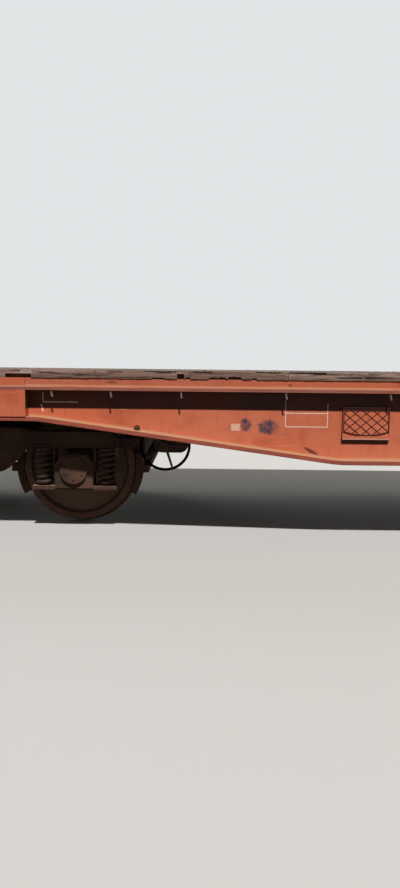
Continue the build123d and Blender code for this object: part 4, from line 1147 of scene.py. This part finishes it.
bogie_steel = dark_paint("bogie_steel", paint=rgb(88, 64, 52), darkening=rgb(54, 42, 36))
bogie_castings = dark_paint("bogie_castings", paint=rgb(96, 68, 54), darkening=rgb(58, 44, 38))
box_cover = {"y": 1.121, "circle": 0.078, "bolt": 0.012, "height": 0.012, "bolts": 6}
axle_offset = 0.9
axle_radius = 0.088
axle_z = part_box("wheelset_1_axle")[0].z + axle_radius

for name in ("a", "b"):
    pivot = -pivot_x if name == "a" else pivot_x
    body = f"bogie_{name}"
    dress(bogie_steel, f"{body}_frame")
    dress(bogie_castings, f"{body}_axleboxes", f"{body}_brakes")
    cover_bolts = bmesh.new()
    for axle in (-axle_offset, axle_offset):
        for side in (-1, 1):
            for i in range(box_cover["bolts"]):
                angle = (i + 0.5) * math.tau / box_cover["bolts"]
                crown = Vector((pivot + axle + box_cover["circle"] * math.cos(angle),
                                side * box_cover["y"],
                                axle_z + box_cover["circle"] * math.sin(angle)))
                foot = crown - Vector((0, side * box_cover["height"], 0))
                post(cover_bolts, box_cover["bolt"], foot, crown, 6)
    finished(f"{body}_cover_bolts", cover_bolts, rusty_bolt, body, "forged_steel")


# Coil springs, an outer and an inner coil in each nest beside the axleboxes.
# Wound from round bar with flat ends, nearly black, brown where the dust has settled.

spring_low, spring_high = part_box("bogie_b_springs")
spring_y = 1.0
spring_offset = 0.250
coils = (
    {"radius": 0.059, "wire": 0.0145, "turns": 5.5},
    {"radius": 0.032, "wire": 0.009, "turns": 8.5},
)
spring_steel = rusty_iron("spring_steel", dark=rgb(48, 40, 37), brown=rgb(88, 66, 54))


def coil_spring(mesh, x, y, radius, wire, turns):
    """A helix between the two seats, its ends wound flat."""
    low, high = spring_low.z + wire, spring_high.z - wire
    coil = Bar(mesh, wire, (x + radius, y, low), (0, 1, 0), 8)
    coil.bend(270, radius, (-1, 0, 0), steps=12, rise=wire)
    inward = Vector((x - coil.at.x, y - coil.at.y, 0))
    coil.bend(360 * turns, radius, inward, steps=round(16 * turns), rise=high - low - 2 * wire)
    inward = Vector((x - coil.at.x, y - coil.at.y, 0))
    coil.bend(270, radius, inward, steps=12, rise=wire)


for name in ("a", "b"):
    pivot = -pivot_x if name == "a" else pivot_x
    nest = bmesh.new()
    for axle in (-axle_offset, axle_offset):
        for offset in (-spring_offset, spring_offset):
            for side in (-1, 1):
                for coil in coils:
                    coil_spring(nest, pivot + axle + offset, side * spring_y, **coil)
    finished(f"bogie_{name}_coils", nest, spring_steel, f"bogie_{name}", "spring_steel",
             f"bogie_{name}_springs")


# Wheelsets: monobloc wheels turned from one forging, pressed on the axle.
# Treads dull with rust, faces brown with brake dust.

wheel_profile = (                       # distance from the axle's middle, and radius
    (0.680, 0.088), (0.680, 0.124), (0.686, 0.132), (0.722, 0.150), (0.730, 0.170), (0.730, 0.366),
    (0.720, 0.388), (0.688, 0.397), (0.680, 0.406), (0.680, 0.474), (0.684, 0.484), (0.692, 0.4878),
    (0.700, 0.4868), (0.707, 0.480), (0.713, 0.468), (0.722, 0.4615), (0.745, 0.460), (0.808, 0.4585),
    (0.815, 0.452), (0.815, 0.406), (0.806, 0.397), (0.772, 0.388), (0.762, 0.366), (0.762, 0.174),
    (0.772, 0.152), (0.824, 0.134), (0.835, 0.124), (0.835, 0.088),
)

wheel_dark = rgb(70, 52, 44)
wheel_brown = rgb(112, 78, 58)
tread_rust = rgb(130, 104, 84)


def wheel_steel():
    finish = Finish("wheel_steel")
    grain = finish.noise(0.02, detail=4)
    tread = abs(finish.y).within(0.722, 0.800, 0.01)
    colour = finish.mix(grain.rise(0.35, 0.7), wheel_dark, wheel_brown)
    colour = finish.mix(tread * 0.35, colour, tread_rust)
    return finish.seal(colour, 0.6 + grain * 0.2, grain, 0.0005, metallic=0.4)


rolled_steel = wheel_steel()
axle_steel = rusty_iron("axle_steel", dark=rgb(72, 56, 48), brown=rgb(110, 80, 62))
for i in range(1, 5):
    low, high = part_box(f"wheelset_{i}_axle")
    centre = (low + high) / 2
    pair = bmesh.new()
    for side in (-1, 1):
        turned(pair, wheel_profile, centre, (0, side, 0), 72)
    finished(f"wheelset_{i}_tyres", pair, rolled_steel, f"wheelset_{i}", "wheel_steel",
             f"wheelset_{i}_wheels")
    dress(axle_steel, f"wheelset_{i}_axle")


# Studio: a plain pale floor, a sun-like key lamp from the photographed side, two weak fills behind,
# a pale surround, and the camera where the photograph was taken.

floor_seen = rgb(188, 186, 181)         # to the camera and in reflections
floor_bounce = rgb(74, 70, 66)          # in the light that it throws back on the wagon
surround = rgb(226, 228, 230)
sky_level = 0.12
key = {"strength": 4.2, "angle": 2.0, "height": 55.5, "aside": 12}
fill = {"strength": 1.3, "angle": 40, "along": 0.8, "aside": -0.7, "down": -0.25}
direct_rays = ("Is Camera Ray", "Is Glossy Ray", "Is Transmission Ray")
floor_half = 60

ground = bmesh.new()
bmesh.ops.create_grid(ground, x_segments=1, y_segments=1, size=floor_half)
ground_data = bpy.data.meshes.new("studio_floor")
ground.to_mesh(ground_data)
ground.free()
plain = Finish("studio_floor")
seen = sum(plain.node("ShaderNodeLightPath", out=ray) for ray in direct_rays).limit()
ground_data.materials.append(plain.seal(plain.mix(seen, floor_bounce, floor_seen), 0.9))
studio_floor = bpy.data.objects.new("studio_floor", ground_data)
bpy.context.scene.collection.objects.link(studio_floor)

world = bpy.data.worlds.new("studio")
bpy.context.scene.world = world
world.use_nodes = True
sky = world.node_tree
background = sky.nodes["Background"]
background.inputs["Color"].default_value = surround
rays = sky.nodes.new("ShaderNodeLightPath")
strength = None
for ray in direct_rays:
    larger = sky.nodes.new("ShaderNodeMath")
    larger.operation = "MAXIMUM"
    larger.inputs[1].default_value = sky_level
    sky.links.new(rays.outputs[ray], larger.inputs[0])
    if strength:
        sky.links.new(strength, larger.inputs[1])
    strength = larger.outputs[0]
sky.links.new(strength, background.inputs["Strength"])


def sun(name, strength, angle, direction):
    lamp = bpy.data.lights.new(name, "SUN")
    lamp.energy = strength
    lamp.angle = math.radians(angle)
    holder = bpy.data.objects.new(name, lamp)
    holder.rotation_euler = Vector(direction).to_track_quat("-Z", "Y").to_euler()
    bpy.context.scene.collection.objects.link(holder)


tilt, aside = math.radians(key["height"]), math.radians(key["aside"])
sun("key_lamp", key["strength"], key["angle"],
    (-math.sin(aside) * math.cos(tilt), math.cos(aside) * math.cos(tilt), -math.sin(tilt)))
for name, way in (("fill_lamp_a", 1), ("fill_lamp_b", -1)):
    sun(name, fill["strength"], fill["angle"], (way * fill["along"], fill["aside"], fill["down"]))

photo_height = 888                      # pixels, as is the focal length
focal_pixels = 670
camera_place = (-5.534, -6.33, 1.318)
camera_pitch = 6.64                     # degrees down
camera_roll = 0.62                      # degrees

camera_data = bpy.data.cameras.new("camera")
camera_data.sensor_fit = "VERTICAL"
camera_data.sensor_height = 36
camera_data.lens = focal_pixels / photo_height * camera_data.sensor_height
camera_data.clip_end = 200
camera = bpy.data.objects.new("camera", camera_data)
bpy.context.scene.collection.objects.link(camera)
level_view = Matrix.Rotation(math.radians(90 - camera_pitch), 4, "X")
rolled = level_view @ Matrix.Rotation(math.radians(camera_roll), 4, "Z")
camera.matrix_world = Matrix.Translation(camera_place) @ rolled
bpy.context.scene.camera = camera
bpy.context.scene.view_settings.view_transform = "Standard"

bpy.context.view_layer.update()
